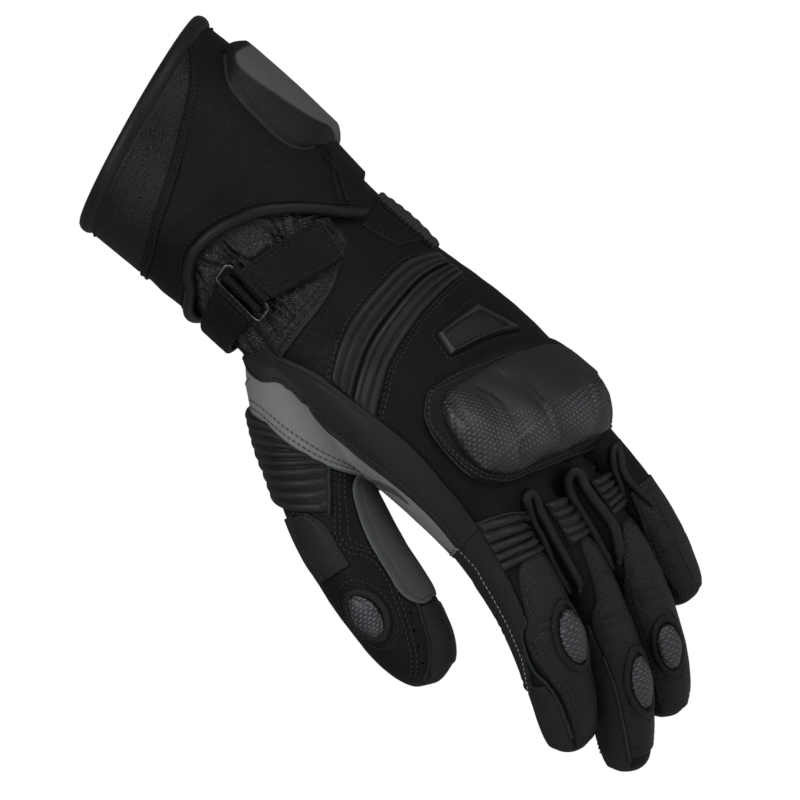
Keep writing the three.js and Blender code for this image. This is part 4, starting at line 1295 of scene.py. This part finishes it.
def ribs(count, along, high):
    """Round ribs with a narrow groove between them."""

    def relief(u, v, sides):
        wave = np.abs(np.sin(math.pi * count * (u if along == "u" else v))) ** 0.6
        if along == "u":
            ends = np.minimum(sides[..., 2], sides[..., 3])
        else:
            ends = np.minimum(sides[..., 0], sides[..., 1])
        return high * wave * np.clip(ends / 0.0022, 0.15, 1) ** 0.5

    return relief


rib_leather = leather("rib_leather", (0.0035, 0.0033, 0.0034), (0.019, 0.0178, 0.018), rough=0.46,
                      grain=0.0008, depth=0.00006, mottle=0.12, shine=0.18)
ridge_leather = leather("ridge_leather", (0.0045, 0.0043, 0.0044), (0.018, 0.017, 0.0175),
                        rough=0.42, grain=0.0008, depth=0.00008, mottle=0.15, shine=0.2)
cap_leather = leather("cap_leather", (0.0035, 0.0032, 0.0033), (0.014, 0.013, 0.0133), grain=0.0009,
                      rough=0.46, depth=0.00016, mottle=0.35, shine=0.2)
back_ribs = laid("back_rib_leather", sleeve, back_rib_table, 0.0008, ribs(6, "u", 0.0017),
                 pitch=0.0009, form=hand_form)
dressed(back_ribs, rib_leather, ("back_ribs",))
for side, offsets in (("near", (-0.0008,)), ("far", (0.0008, 0.0022))):
    points, ups = line_of(back_ribs, side, 0)
    across = unit(np.cross(np.gradient(points, axis=0), ups))
    inward = unit(back_ribs.top[len(points) // 2, -1] - back_ribs.top[len(points) // 2, 0])
    across = across * np.sign((across * inward).sum(1))[:, None]
    for offset in offsets:
        spots, seat_ups = seated(points + across * offset, hand_form)
        sewn("back_thread", spots + seat_ups * 0.0002, seat_ups)

# The moulded plate between the ribs and the guard.
# A small soft plate with a raised frame, sewn down round its edge. The mark that the real
# one carries is left out, so its field is plain.
badge_table = [
    # station, turn on the thumb side, station, turn on the outer side
    (1.562, 6, 1.58, -18),
    (1.65, 8, 1.756, -29),
]


def framed(u, v, sides):
    rim = sides.min(-1)
    return 0.0015 * np.clip(1.5 * (1 - np.abs(rim - 0.0013) / 0.0013), 0, 1) ** 0.7


badge_leather = leather("badge_leather", (0.008, 0.0078, 0.0078), (0.021, 0.0205, 0.0205), rough=0.42,
                        depth=0.00004, mottle=0.1, shine=0.25)
badge = laid("badge_frame", sleeve, badge_table, 0.0010, framed, pitch=0.0006, form=hand_form)
dressed(badge, badge_leather, ("badge_plate",), badge_leather)
badge_seam_rows = [
    # station, turn
    (1.657, 10), (1.61, 9), (1.55, 7), (1.556, -6), (1.567, -19), (1.67, -26), (1.77, -31),
    (1.72, -11), (1.657, 10),
]
sewn("back_thread", *line_on(sleeve, badge_seam_rows, hand_form, 0.0002, calm=2), **fine_stitch)

# The knuckle guard and its padded border.
# A hard moulded shell with four lobes, each broad and steep on its outer side, and a woven
# carbon look. It is sewn in under a padded leather border with two rows of stitches.
guard_table = [
    # proximal station, turn, distal station, turn
    (1.745, 31, 1.764, 34),
    (1.726, 25, 1.82, 38),
    (1.736, 18, 1.916, 41),
    (1.75, 11, 2.04, 39),
    (1.764, 4, 2.28, 29),
    (1.782, -2, 2.4, 17),
    (1.803, -10, 2.48, 7),
    (1.829, -19, 2.62, -4),
    (1.853, -29, 2.72, -18),
    (1.876, -37, 2.79, -38),
    (1.91, -48, 2.74, -54),
    (1.98, -58, 2.5, -64),
    (2.1, -66, 2.3, -66),
]
border_table = [
    # proximal station, turn, distal station, turn
    (1.7, 35, 1.73, 41),
    (1.68, 29, 1.8, 46),
    (1.685, 21, 1.92, 47.5),
    (1.7, 12, 2.03, 45),
    (1.715, 4, 2.35, 32),
    (1.733, -2, 2.5, 18),
    (1.757, -10, 2.62, 7),
    (1.79, -20, 2.76, -6),
    (1.815, -30, 2.85, -20),
    (1.835, -39, 2.9, -40),
    (1.87, -50, 2.85, -58),
    (1.93, -61, 2.6, -70),
    (2.05, -72, 2.35, -73),
]
border_height = 0.0018
border_lift = 3 * seat_gap
guard_lift = border_lift + border_height - 0.0002


def pillow(u, v, sides):
    """A soft roll along the edge, and the shell's seat inside it."""
    rim = sides.min(-1)
    puff = np.clip(rim / 0.0026, 0, 1)
    return border_height * 0.6 * np.sin(puff * math.pi / 2)


guard_border = laid("guard_border_leather", sleeve, border_table, border_height / 2, pillow,
                    lift=border_lift, sunk=0.0016, grooves=(4,))
dressed(guard_border, black_leather, ("guard_border",))
hemmed(guard_border, "back_thread", lines=(3, 6))

crest_rows = [
    # share across the guard, then the place of each lobe's crest along it
    (0, 0.2, 0.36, 0.58, 0.82),
    (0.13, 0.245, 0.43, 0.73, 0.89),
    (0.26, 0.325, 0.468, 0.722, 0.86),
    (0.45, 0.322, 0.485, 0.695, 0.8),
    (0.65, 0.315, 0.507, 0.68, 0.78),
    (1, 0.37, 0.554, 0.68, 0.77),
]
lobe_heights = (0.0062, 0.0064, 0.0074, 0.005)
guard_rim = 0.0008


def knuckle_lobes(u, v, sides):
    """Each lobe swells up to its crest and drops behind it to the next."""
    crests = np.moveaxis(eased(crest_rows, u), -1, 0)
    crown = np.clip(u / 0.5, 0, 1) ** 0.7 * np.clip((1 - u) / 0.3, 0, 1) ** 0.55
    ends = np.clip(v / 0.16, 0, 1) ** 0.6 * np.clip((1 - v) / 0.14, 0, 1) ** 0.6
    depth = np.clip((u - 0.08) / 0.3, 0, 1)
    shape = np.zeros(u.shape)
    start = np.full(u.shape, -0.02)
    for crest, high in zip(crests, lobe_heights):
        share = (v - start) / (crest - start)
        swell = 0.38 + 0.62 * np.sin(np.clip(share / 0.8, 0, 1) * math.pi / 2)
        swell = swell - 0.12 * np.exp(-((share - 0.86) / 0.07) ** 2)
        inside = (share > 0) & (share <= 1)
        shape = np.where(inside, high * mix(0.9, swell, depth), shape)
        start = crest
    tail = v > start
    shape = np.where(tail, lobe_heights[-1] * mix(0.9, 0.6, depth), shape)
    return shape * crown * ends


def dotted(u, v, sides):
    """Where the carbon look shows: the lower part, and all of the thumb end."""
    start = np.interp(v, (0, 0.16, 0.3, 0.7, 1), (0.0, 0.06, 0.3, 0.26, 0.2))
    return np.clip((u - start) / 0.06, 0, 1)


def carbon_look(name, marked):
    """Satin grey plastic with a relief of small staggered lens shapes. When marked, the low parts of each lobe
    before its crest are painted dark as their shade.
    """
    material, paint = finish(name)
    spot = paint.node("ShaderNodeTexCoord", output="Object")
    where = paint.node("ShaderNodeUVMap", {"uv_map": "weave"})
    across = paint.node("ShaderNodeSeparateXYZ", None, {0: where}, output=0)
    down = paint.node("ShaderNodeSeparateXYZ", None, {0: where}, output=1)
    row = down * (1 / 0.0013)
    step = row.sum("FLOOR", row)
    slot = across * (1 / 0.0017) + step * 0.5
    right = (slot.sum("FRACT", slot) - 0.5) * 1.1
    low = (row.sum("FRACT", row) - 0.5) * 1.25
    away = right * right + low * low
    cloud = paint.node("ShaderNodeTexNoise", None, {"Vector": spot, "Scale": 240, "Detail": 2})
    lens = 1 - away.between(0.02, 0.22)
    if marked:
        lens = lens * paint.node("ShaderNodeAttribute", {"attribute_name": "mark"}, output="Fac")
    shade = 0.12 + lens * (0.2 + cloud * 0.9)
    # Painted shade: on the guard the colour darkens towards black where the lobes' relief is low, in the
    # valleys before each crest.
    if marked:
        crown = paint.node("ShaderNodeAttribute", {"attribute_name": "crest"}, output="Fac")
        shade = shade * (0.05 + crown.between(0.45, 0.9))
    feed(material, "Base Color", shade.blend(tint((0.009, 0.0087, 0.01)), tint((0.085, 0.082, 0.098))))
    feed(material, "Roughness", 0.4 - lens * 0.1)
    bumped(material, paint, lens, 0.0002)
    surface_of(material)["Specular IOR Level"].default_value = 0.45
    return material


around_hand = np.arange(-180, 181)
hand_arc = np.linalg.norm(np.diff(sleeve(1.95, around_hand), axis=0), axis=1)
hand_arc = np.concatenate([[0], np.cumsum(hand_arc)])


def on_hand(station, turn):
    """Real distances round the hand and along it, so that the relief keeps its scale."""
    return np.stack([np.interp(turn, around_hand, hand_arc), -sleeve(station, turn)[..., 2]], -1)


carbon = carbon_look("carbon_weave", False)
guard_carbon = carbon_look("guard_carbon", True)
knuckle_guard = laid("guard_shell", sleeve, guard_table, guard_rim, knuckle_lobes, pitch=0.0006,
                     lift=guard_lift, sunk=0.0022, edge_drop=0.0002, marks=dotted,
                     relaid=on_hand, soften=60)
dressed(knuckle_guard, guard_carbon, ("knuckle_guard",), guard_carbon)

# The strip down the thumb side.
# Smooth leather from the wrist to the tip of the index finger, folded under on the back and
# sewn on the palm side with a light thread. A thin welt runs along its palm side.
strip_leather = leather("strip_leather", (0.0095, 0.0088, 0.009), (0.023, 0.0214, 0.0216),
                        grain=0.0008, rough=0.55, depth=0.00006, mottle=0.12)
side_table = [
    # station, turn on the palm side, station, turn on the back side
    (1.08, 119, 1.13, 92),
    (1.2, 117, 1.2, 89),
    (1.3, 111.5, 1.3, 80),
    (1.41, 104.5, 1.4, 73.5),
    (1.52, 98, 1.53, 67.5),
    (1.62, 94, 1.62, 64),
    (1.74, 91, 1.74, 61.5),
    (1.87, 89.5, 1.87, 62),
    (2, 89, 2, 64),
    (2.5, 90, 2.5, 64),
]
side_strip = laid("side_strip_leather", sleeve, side_table, 0.0018, form=hand_form, grooves=(3,))
dressed(side_strip, strip_leather, ("side_strip",))
hemmed(side_strip, "back_thread", ("near",), (3,))
welt_points, welt_ups = side_strip.top[2:-3, 0], side_strip.up[2:-3, 0]
welt = rolled("side_welt", welt_points - welt_ups * 0.0002, welt_ups, 0.0007, 0.0008, sides=8)
made_of(welt, trim_leather)
index_table = [
    # station, turn on the palm side, station, turn on the back side
    (0.1, 112, 0.1, 52),
    (0.2, 122, 0.205, 55),
    (0.29, 128, 0.289, 57),
    (0.37, 132, 0.369, 61),
    (0.45, 134, 0.446, 65),
    (0.49, 134, 0.486, 76),
    (0.53, 134, 0.525, 84),
    (0.6, 134, 0.6, 94),
    (0.68, 132, 0.68, 104),
    (0.73, 132, 0.73, 108),
]
index = fingers["index"]
index_strip = laid("index_strip_leather", index, index_table, 0.0012, form=hand_form)
dressed(index_strip, strip_leather, ("index_strip",))
light_seam = [
    # station, turn
    (0.1, 91), (0.2, 92), (0.3, 96), (0.4, 98), (0.5, 99), (0.6, 101), (0.7, 110), (0.8, 114),
    (0.88, 116), (0.93, 118),
]
index_side = [index_strip.piece, *stalls.values()]
index_form = tree_of(index_side)
sewn("light_thread", *line_on(index, light_seam, index_form, 0.0003, cast=True), **fine_stitch)

# Palm and the root of the thumb.
# Light grey leather covers the palm and wraps over the edge of the hand to the thumb, where
# two rows of dark thread and a raw edge mark its seam.
grey_leather = leather("grey_leather", (0.125, 0.128, 0.12), (0.165, 0.169, 0.159), rough=0.65,
                       grain=0.0006, depth=0.00004, mottle=0.14, shine=0.3)
grey_edge = leather("grey_edge", (0.045, 0.052, 0.056), (0.12, 0.134, 0.142), rough=0.7,
                    grain=0.0004, depth=0.0001, shine=0.2)
palm_table = [
    # station, turn on the thumb side, station, turn on the outer side
    (1.2, 118.5, 1.22, 236),
    (1.3, 113, 1.3, 241),
    (1.41, 106, 1.41, 246),
    (1.52, 99.5, 1.52, 249),
    (1.62, 95.5, 1.62, 251),
    (1.74, 92.5, 1.74, 253),
    (1.87, 91, 1.87, 254),
    (2, 91, 2, 256),
    (2.5, 92, 2.5, 258),
]
palm = laid("palm_leather", sleeve, palm_table, 0.0012, form=hand_form, pitch=0.0016)
dressed(palm, grey_leather, ("palm_panel",), grey_edge)
hemmed(palm, "dark_thread", ("start", "end", "far"))
thenar_table = [
    # place in the picture along the strip, then along the thumb's seam
    (243, 356, 249, 411),
    (260, 368.5, 259, 415),
    (278, 380, 273, 429),
    (293, 394, 289, 443),
    (314, 412.5, 306, 455),
    (336, 430, 323, 464.5),
    (355, 445.5, 342, 471),
    (371, 459, 362, 476),
    (382, 473, 379.5, 482),
    (398, 485, 391.5, 488.5),
]
thenar = laid("thenar_leather", shown(hand_form), thenar_table, 0.00125, facing=camera_back,
              form=hand_form, settle=12)
dressed(thenar, grey_leather, ("thenar_panel",), grey_edge)
hemmed(thenar, "dark_thread", ("far",), (3, 6))
points, ups = thenar.top[1:-1, -1], thenar.up[1:-1, -1]
thenar_edge = rolled("thenar_raw_edge", points - ups * 0.0003, ups, 0.0004, 0.0006, sides=8)
made_of(thenar_edge, grey_edge)

index_grey_table = [
    # station, turn on the palm side, station, turn on the back side
    (0.02, 138, 0.02, 98),
    (0.1, 138, 0.1, 97),
    (0.2, 137, 0.2, 96),
    (0.27, 134, 0.28, 110),
]
index_grey = laid("index_palm_leather", index, index_grey_table, 0.0007, form=hand_form)
dressed(index_grey, grey_leather, (), grey_edge)

# Ribs and panels of the thumb.
# Nine soft ribs over the root of the thumb, then sewn panels over its back, a cap over its
# tip and a napped patch in the web that wears against the bar.
thumb_rib_table = [
    # station, turn on the back side, station, turn on the hand side
    (0.165, 76, 0.25, -11),
    (0.185, 76, 0.288, -22),
    (0.215, 76, 0.332, -35),
    (0.25, 76, 0.376, -50),
    (0.285, 76, 0.414, -62),
    (0.32, 75, 0.446, -56),
    (0.355, 72, 0.481, -48),
    (0.385, 68, 0.513, -39),
]
thumb = fingers["thumb"]
thumb_ribs = laid("thumb_rib_leather", thumb, thumb_rib_table, 0.0008, ribs(9, "v", 0.0019),
                  pitch=0.0006, form=hand_form)
dressed(thumb_ribs, rib_leather, ("thumb_ribs",))
thumb_panel_table = [
    # station, turn on the back side, station, turn on the hand side
    (0.46, 46, 0.482, -13),
    (0.48, 46, 0.514, -24),
    (0.53, 42, 0.553, -29),
    (0.58, 36, 0.6, -28),
    (0.64, 28, 0.645, -28),
]
thumb_panel = laid("thumb_panel_leather", thumb, thumb_panel_table, 0.0011, form=hand_form,
                   grooves=(3,))
dressed(thumb_panel, strip_leather, ("thumb_panel",))
hemmed(thumb_panel, "thumb_thread", ("start", "far"))
rib_end_rows = [(0.413, -62), (0.446, -55), (0.475, -49), (0.517, -38)]
rib_end = raw_edge("thumb_rib_edge", line_on(thumb, rib_end_rows, hand_form, 0.0013), blue_edge)
thumb_seam_rows = [
    # station, turn
    (0.43, -72), (0.473, -59), (0.521, -48), (0.575, -35), (0.615, -38), (0.642, -52),
    (0.676, -59), (0.725, -59), (0.769, -54), (0.817, -47), (0.868, -38), (0.926, -20),
    (0.955, 5),
]
double_seam("thumb_thread", line_on(thumb, thumb_seam_rows, hand_form, 0.0003))
inner_seam_rows = [
    # station, turn
    (0.44, -79), (0.49, -66), (0.54, -56), (0.59, -45), (0.62, -52), (0.645, -66),
]
double_seam("thumb_thread", line_on(thumb, inner_seam_rows, hand_form, 0.0003), (0,))
patch_seam_rows = [(0.64, 11), (0.58, 15), (0.53, 18), (0.49, 13), (0.468, 8), (0.478, -8)]
double_seam("thumb_thread", line_on(thumb, patch_seam_rows, hand_form, 0.0014), (0,))
thumb_tip_table = [
    # station, turn on the back side, station, turn on the hand side
    (0.9, 30, 0.81, -80),
    (0.93, 24, 0.86, -66),
    (0.955, 10, 0.915, -54),
    (0.978, -4, 0.955, -36),
]
tip_edge_rows = [(0.808, -74), (0.854, -65), (0.914, -53), (0.955, -34), (0.977, -2)]
tip_line = line_on(thumb, tip_edge_rows, hand_form, 0.0001)
raw_edge("thumb_tip_edge", tip_line, trim_leather, wide=0.0007, high=0.0005)
thumb_tip_rows = [
    # station, turn on the hand side, station, turn on the palm side
    (0.825, -74, 0.84, -140),
    (0.862, -66, 0.88, -140),
    (0.918, -54, 0.92, -140),
    (0.955, -36, 0.96, -150),
    (0.985, -20, 0.985, -160),
]
thumb_tip = laid("thumb_tip_leather", thumb, thumb_tip_rows, 0.0004, form=hand_form)
dressed(thumb_tip, strip_leather, ("thumb_tip_panel",))
hole_rows = [(0.821, -57), (0.862, -47), (0.9, -39), (0.94, -29)]
hole_spots, hole_ups = line_on(thumb, hole_rows, hand_form, 0.0001)
picks = np.linspace(0, len(hole_spots) - 1, 4).astype(int)
pricked("thumb_holes", hole_spots[picks], hole_ups[picks])
web_table = [
    # station, turn on the thumb's side, station, turn on the palm side
    (0.458, -97, 0.5, -150),
    (0.484, -80, 0.52, -150),
    (0.53, -72, 0.56, -148),
    (0.59, -66, 0.61, -145),
    (0.65, -64, 0.66, -140),
    (0.71, -63, 0.72, -135),
    (0.765, -62, 0.77, -128),
    (0.8, -69, 0.8, -122),
    (0.818, -80, 0.82, -112),
]
web_leather = leather("web_leather", (0.038, 0.04, 0.039), (0.056, 0.059, 0.058), rough=0.75,
                      grain=0.0006, depth=0.00004, mottle=0.14, shine=0.25)
web = laid("web_patch_leather", thumb, web_table, 0.0012, form=hand_form, grooves=(4,))
dressed(web, web_leather, ("web_patch",), grey_edge)
hemmed(web, "dark_thread", ("near",), (4,))
points = np.concatenate([web.top[1:, 0], web.top[-1, 1:12]])
ups = np.concatenate([web.up[1:, 0], web.up[-1, 1:12]])
web_edge = rolled("web_raw_edge", points - ups * 0.0003, ups, 0.0004, 0.0006, sides=8)
made_of(web_edge, grey_edge)
web_fold_table = [
    # place in the picture on the thumb's side, then on the side of the opening
    (362.5, 477.5, 379, 491),
    (373, 476, 384, 487.5),
    (386, 481, 391, 489.5),
    (399, 489, 402, 496.5),
    (411, 501.5, 411.5, 503.5),
]
web_fold = laid("web_fold_leather", shown(hand_form), web_fold_table, 0.00135,
                facing=camera_back, form=hand_form, settle=6)
dressed(web_fold, web_leather, (), grey_edge)

# Ribs and ridges at the roots of the fingers.
# Behind each middle joint the leather stands in five ribs. Between the fingers, a piping of
# rolled leather runs up, turns round in a tight bend and comes back down beside itself.
finger_rib_tables = {
    # place in the picture at the thumb end of a rib, then at its outer end
    "index": [(477, 522.5, 527, 511.5), (484, 536, 535, 522), (491.5, 549, 541, 531),
              (498, 561, 546, 540.5), (504, 571.5, 549, 549)],
    "middle": [(543.5, 503, 569.5, 495), (552, 515, 576.5, 504.5), (560, 525, 582, 514),
               (565.5, 536, 588.5, 524), (571, 546, 590, 534)],
    "ring": [(589, 481.5, 611, 470), (596, 491.5, 616, 478), (602.5, 500, 619, 486.5),
             (607, 509, 621, 496), (612, 518.5, 624, 505)],
}
for name, table in finger_rib_tables.items():
    panel = laid(f"{name}_rib_leather", shown(hand_form), table, 0.0008, ribs(5, "v", 0.0018),
                 pitch=0.0005, form=hand_form, facing=camera_back, settle=6)
    dressed(panel, rib_leather, (f"{name}_ribs",))
index_rib_top = [(475, 524), (492, 518.5), (508, 514.5), (526, 511.5)]
raw_edge("index_rib_edge", line_on(shown(hand_form), index_rib_top, hand_form, 0.0008), blue_edge,
         wide=0.0005, high=0.0004)

ridge_radii = {"ridge_index_middle": 0.0018, "ridge_middle_ring": 0.0021, "ridge_ring_little": 0.0015}
ridge_rows = {
    # places in the picture along each bent piping
    "ridge_index_middle": [
        (571, 592), (564, 581), (552.5, 560), (542.7, 538), (533, 520.5), (525, 504),
        (525, 496), (529, 493), (533.5, 497), (542.7, 516), (554.5, 538), (566.5, 560),
        (577.5, 580), (579.4, 591),
    ],
    "ridge_middle_ring": [
        (613, 568), (607.5, 557.5), (599, 542.5), (590, 527), (580, 510), (570.5, 493),
        (567.5, 481), (570, 474.5), (575, 472.5), (580, 477), (584, 486), (592, 498),
        (602, 511), (611, 524), (616, 537), (618.5, 551), (618.5, 563),
    ],
    "ridge_ring_little": [
        (624, 506), (620.5, 487), (615, 473), (611.5, 457), (612.5, 449), (616, 448),
        (618.5, 455), (621.5, 469), (627, 480), (640, 493), (652, 506),
    ],
}
for node, spots in ridge_rows.items():
    points, ups = line_on(shown(hand_form), spots, hand_form, 0.0011, calm=6)
    ramp = np.arange(len(points))
    ends = np.clip(np.minimum(ramp, ramp[::-1]) / 12, 0.4, 1) ** 0.5
    radius = ridge_radii[node]
    piece = rolled(node + "_piping", points, ups, radius, radius, swell=ends)
    piece.data.materials.append(ridge_leather)
    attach(piece, "root")
    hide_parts(node)

# Caps on the backs of the fingers.
# Over each finger a padded piece of leather is sewn down with double rows of thread, with
# fine folds across it behind the slider. The index and middle fingers end in smooth patches.
cap_tables = {
    # station, turn on the thumb side, station, turn on the outer side
    "index": [(0.285, 24, 0.3, -50), (0.33, 43, 0.34, -64), (0.4, 56, 0.4, -76),
              (0.462, 65, 0.462, -80), (0.52, 80, 0.52, -82), (0.58, 82, 0.58, -82),
              (0.64, 72, 0.64, -80), (0.7, 62, 0.7, -78), (0.76, 52, 0.76, -76),
              (0.83, 45, 0.83, -72), (0.9, 40, 0.9, -66), (0.955, 36, 0.955, -60)],
    "middle": [(0.285, 0, 0.3, -46), (0.35, 12, 0.35, -62), (0.4, 21, 0.4, -72),
               (0.45, 32, 0.45, -78), (0.485, 52, 0.49, -80), (0.54, 57, 0.54, -80),
               (0.62, 52, 0.62, -78), (0.7, 50, 0.7, -76), (0.78, 49, 0.78, -74),
               (0.86, 45, 0.86, -70), (0.93, 42, 0.93, -60)],
    "ring": [(0.385, 8, 0.385, -30), (0.44, 32, 0.42, -50), (0.5, 47, 0.48, -65),
             (0.545, 62, 0.55, -75), (0.62, 71, 0.62, -80), (0.7, 69, 0.7, -80),
             (0.76, 70, 0.76, -78), (0.83, 66, 0.83, -74), (0.9, 60, 0.9, -68),
             (0.97, 54, 0.97, -54)],
    "little": [(0.5, 40, 0.5, -40), (0.59, 50, 0.58, -55), (0.67, 62, 0.66, -60),
               (0.745, 72, 0.74, -62), (0.82, 66, 0.82, -60), (0.9, 58, 0.9, -54),
               (0.96, 52, 0.96, -50)],
}
cap_creases = {"index": (0.3, 0.34), "middle": (0.42, 0.46), "ring": (0.36, 0.4), "little": (0.5,)}


def cap_padding(creases, swell):
    """Padding that swells behind the seam, flattens to the outer side and the tip, and is
    drawn in by fine folds across it."""

    def relief(u, v, sides):
        rim = np.minimum(sides[..., 0], sides[..., 2])
        puff = np.sin(np.clip(rim / 0.006, 0, 1) * math.pi / 2)
        fade = np.clip((1 - u) / 0.5, 0, 1) * np.interp(v, (0, 0.5, 1), (1, 0.75, 0.2))
        folds = 0
        for crease in creases:
            folds = folds + np.exp(-((v - crease - 0.03 * np.sin(3 * u)) / 0.012) ** 2)
        fine = 0.5 + 0.5 * np.sin(2 * math.pi * sides[..., 2] / 0.0016 + 3 * u)
        near = np.exp(-((v - creases[0]) / 0.1) ** 2)
        rise = swell * puff - 0.0006 * folds * puff + 0.0002 * fine * near * puff + 0.0005
        return np.maximum(rise * fade, 0)

    return relief


cap_swells = {"index": 0.0013, "middle": 0.0013, "ring": 0.0007, "little": 0}
caps = []
for name, table in cap_tables.items():
    padding = cap_padding(cap_creases[name], cap_swells[name])
    cap = laid(f"{name}_cap_leather", fingers[name], table, 0.0006, padding,
               form=hand_form, pitch=0.0008, grooves=groove_lines)
    dressed(cap, cap_leather)
    hemmed(cap, "finger_thread", ("near",), groove_lines)
    hemmed(cap, "finger_thread", ("start",), (3,))
    caps.append(cap.piece)
index_cut_rows = [
    # station, turn
    (0.446, 66), (0.47, 68), (0.495, 79), (0.53, 85), (0.6, 88), (0.65, 84), (0.69, 72),
    (0.74, 63), (0.8, 56), (0.86, 51), (0.91, 46),
]
raw_edge("index_raw_edge", line_on(index, index_cut_rows, hand_form, 0.0012), blue_edge)
middle = fingers["middle"]
middle_cut_rows = [
    # station, turn
    (0.6, 55), (0.66, 53), (0.72, 51), (0.8, 50), (0.87, 46), (0.94, 44),
]
raw_edge("middle_raw_edge", line_on(middle, middle_cut_rows, hand_form, 0.0012), blue_edge)
patch_tables = {
    # station, turn on the palm side, station, turn on the back side
    "index": [(0.715, 132, 0.712, 77), (0.76, 134, 0.76, 64), (0.83, 134, 0.83, 57),
              (0.9, 130, 0.9, 50), (0.965, 122, 0.965, 44)],
    "middle": [(0.5, 72, 0.5, 58), (0.56, 88, 0.56, 59), (0.62, 102, 0.62, 55),
               (0.7, 118, 0.7, 53), (0.8, 126, 0.8, 51), (0.9, 130, 0.9, 46),
               (0.97, 124, 0.97, 42)],
}
patches = []
for name, table in patch_tables.items():
    patch = laid(f"{name}_patch_leather", fingers[name], table, 0.0007, form=hand_form)
    dressed(patch, strip_leather)
    patches.append(patch.piece)
middle_light = [(0.5, 60), (0.54, 64), (0.6, 80), (0.68, 97), (0.75, 106), (0.85, 113), (0.93, 122)]
sewn("middle_thread", *line_on(middle, middle_light, tree_of([*stalls.values(), *patches]), 0.0003, cast=True),
     **fine_stitch)
little = fingers["little"]
little_rows = [(0.52, 2), (0.6, 8), (0.67, 11), (0.74, 12), (0.81, 13), (0.9, 8)]
sewn("middle_thread", *line_on(little, little_rows, tree_of(caps), 0.0002, cast=True), **fine_stitch)

# Sliders.
# Hard ovals with the carbon look cover the last joints. Each sits in a raised leather frame
# that is sewn round it.
slider_rows = {
    # middle station, half length, turn, half spread in degrees
    "index": (0.574, 0.088, 4, 25),
    "middle": (0.712, 0.076, 2, 22),
    "ring": (0.758, 0.066, 20, 21),
    "thumb": (0.766, 0.057, -9, 18),
}
cap_form = tree_of([hand_leather, *caps])


def domed(u, v, sides):
    return 0.0016 * np.sqrt(np.clip(1 - (2 * u - 1) ** 2 - (2 * v - 1) ** 2, 0, 1))


for name, (along, half, turn, spread) in slider_rows.items():
    shares = np.linspace(-0.97, 0.97, 17)
    wide = spread * np.sqrt(1 - np.abs(shares) ** 1.7)
    table = [
        (along + half * share, turn + w, along + half * share, turn - w)
        for share, w in zip(shares, wide)
    ]
    slider = laid(f"{name}_slider_shell", fingers[name], table, 0.0010, domed, pitch=0.0006,
                  form=cap_form, lift=0.0003, cast=True)
    dressed(slider, carbon, (f"{name}_slider",), carbon)
    angle = np.radians(np.arange(0, 360, 6))
    heart = fingers[name](along, np.array([turn, turn + 180])).mean(0)
    rim = fingers[name](along + (half + 0.008) * np.cos(angle),
                        turn + (spread + 6) * np.sign(np.sin(angle)) * np.abs(np.sin(angle)) ** 1.1)
    points, ups = seated(rim, cap_form, hints=unit(rim - heart))
    frame_roll = rolled(f"{name}_slider_frame", points + ups * 0.0003, ups, 0.0011, 0.0014,
                        closed=True)
    made_of(frame_roll, cap_leather)
    rim = fingers[name](along + (half + 0.038) * np.cos(angle),
                        turn + (spread + 16) * np.sin(angle))
    points, ups = seated(rim, cap_form, hints=unit(rim - heart))
    sewn("finger_thread", points + ups * 0.0002, ups, **fine_stitch)

# Thread.
# Every seam is sewn with bonded polyester thread: black on the black leather, dark grey on
# the grey leather and light grey along the side strip. Each stitch is a short round bead.
thread_colours = {
    "light_thread": ((0.16, 0.16, 0.155), (0.33, 0.33, 0.32)),
    "dark_thread": ((0.02, 0.02, 0.022), (0.06, 0.06, 0.065)),
    "cuff_thread": ((0.0015, 0.0015, 0.0016), (0.006, 0.006, 0.0063)),
    "wrist_thread": ((0.0015, 0.0015, 0.0016), (0.007, 0.007, 0.0074)),
    "back_thread": ((0.006, 0.006, 0.006), (0.05, 0.049, 0.047)),
}
black_thread = ((0.008, 0.008, 0.009), (0.035, 0.035, 0.037))


def twisted(name, dark, light):
    material, paint = finish(name)
    spot = paint.node("ShaderNodeTexCoord", output="Object")
    fibre = paint.node("ShaderNodeTexNoise", None, {"Vector": spot, "Scale": 3000, "Detail": 1})
    feed(material, "Base Color", fibre.blend(tint(dark), tint(light)))
    surface_of(material)["Roughness"].default_value = 0.6
    surface_of(material)["Specular IOR Level"].default_value = 0.25
    bumped(material, paint, fibre, 0.00005)
    return material


for thread, groups in threads.items():
    beads = np.concatenate(groups)
    template = []
    for r in range(3):
        for c in range(6):
            d = (c + 1) % 6
            template.append((r * 6 + c, r * 6 + d, (r + 1) * 6 + d, (r + 1) * 6 + c))
    template += [tuple(range(5, -1, -1)), tuple(range(18, 24))]
    faces = [
        tuple(24 * number + corner for corner in face)
        for number in range(len(beads)) for face in template
    ]
    piece = new_piece(thread.replace("thread", "stitches"), beads.reshape(-1, 3), faces)
    outward(piece)
    smooth(piece, 80)
    piece.data.materials.append(twisted(thread, *thread_colours.get(thread, black_thread)))
    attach(piece, "root")
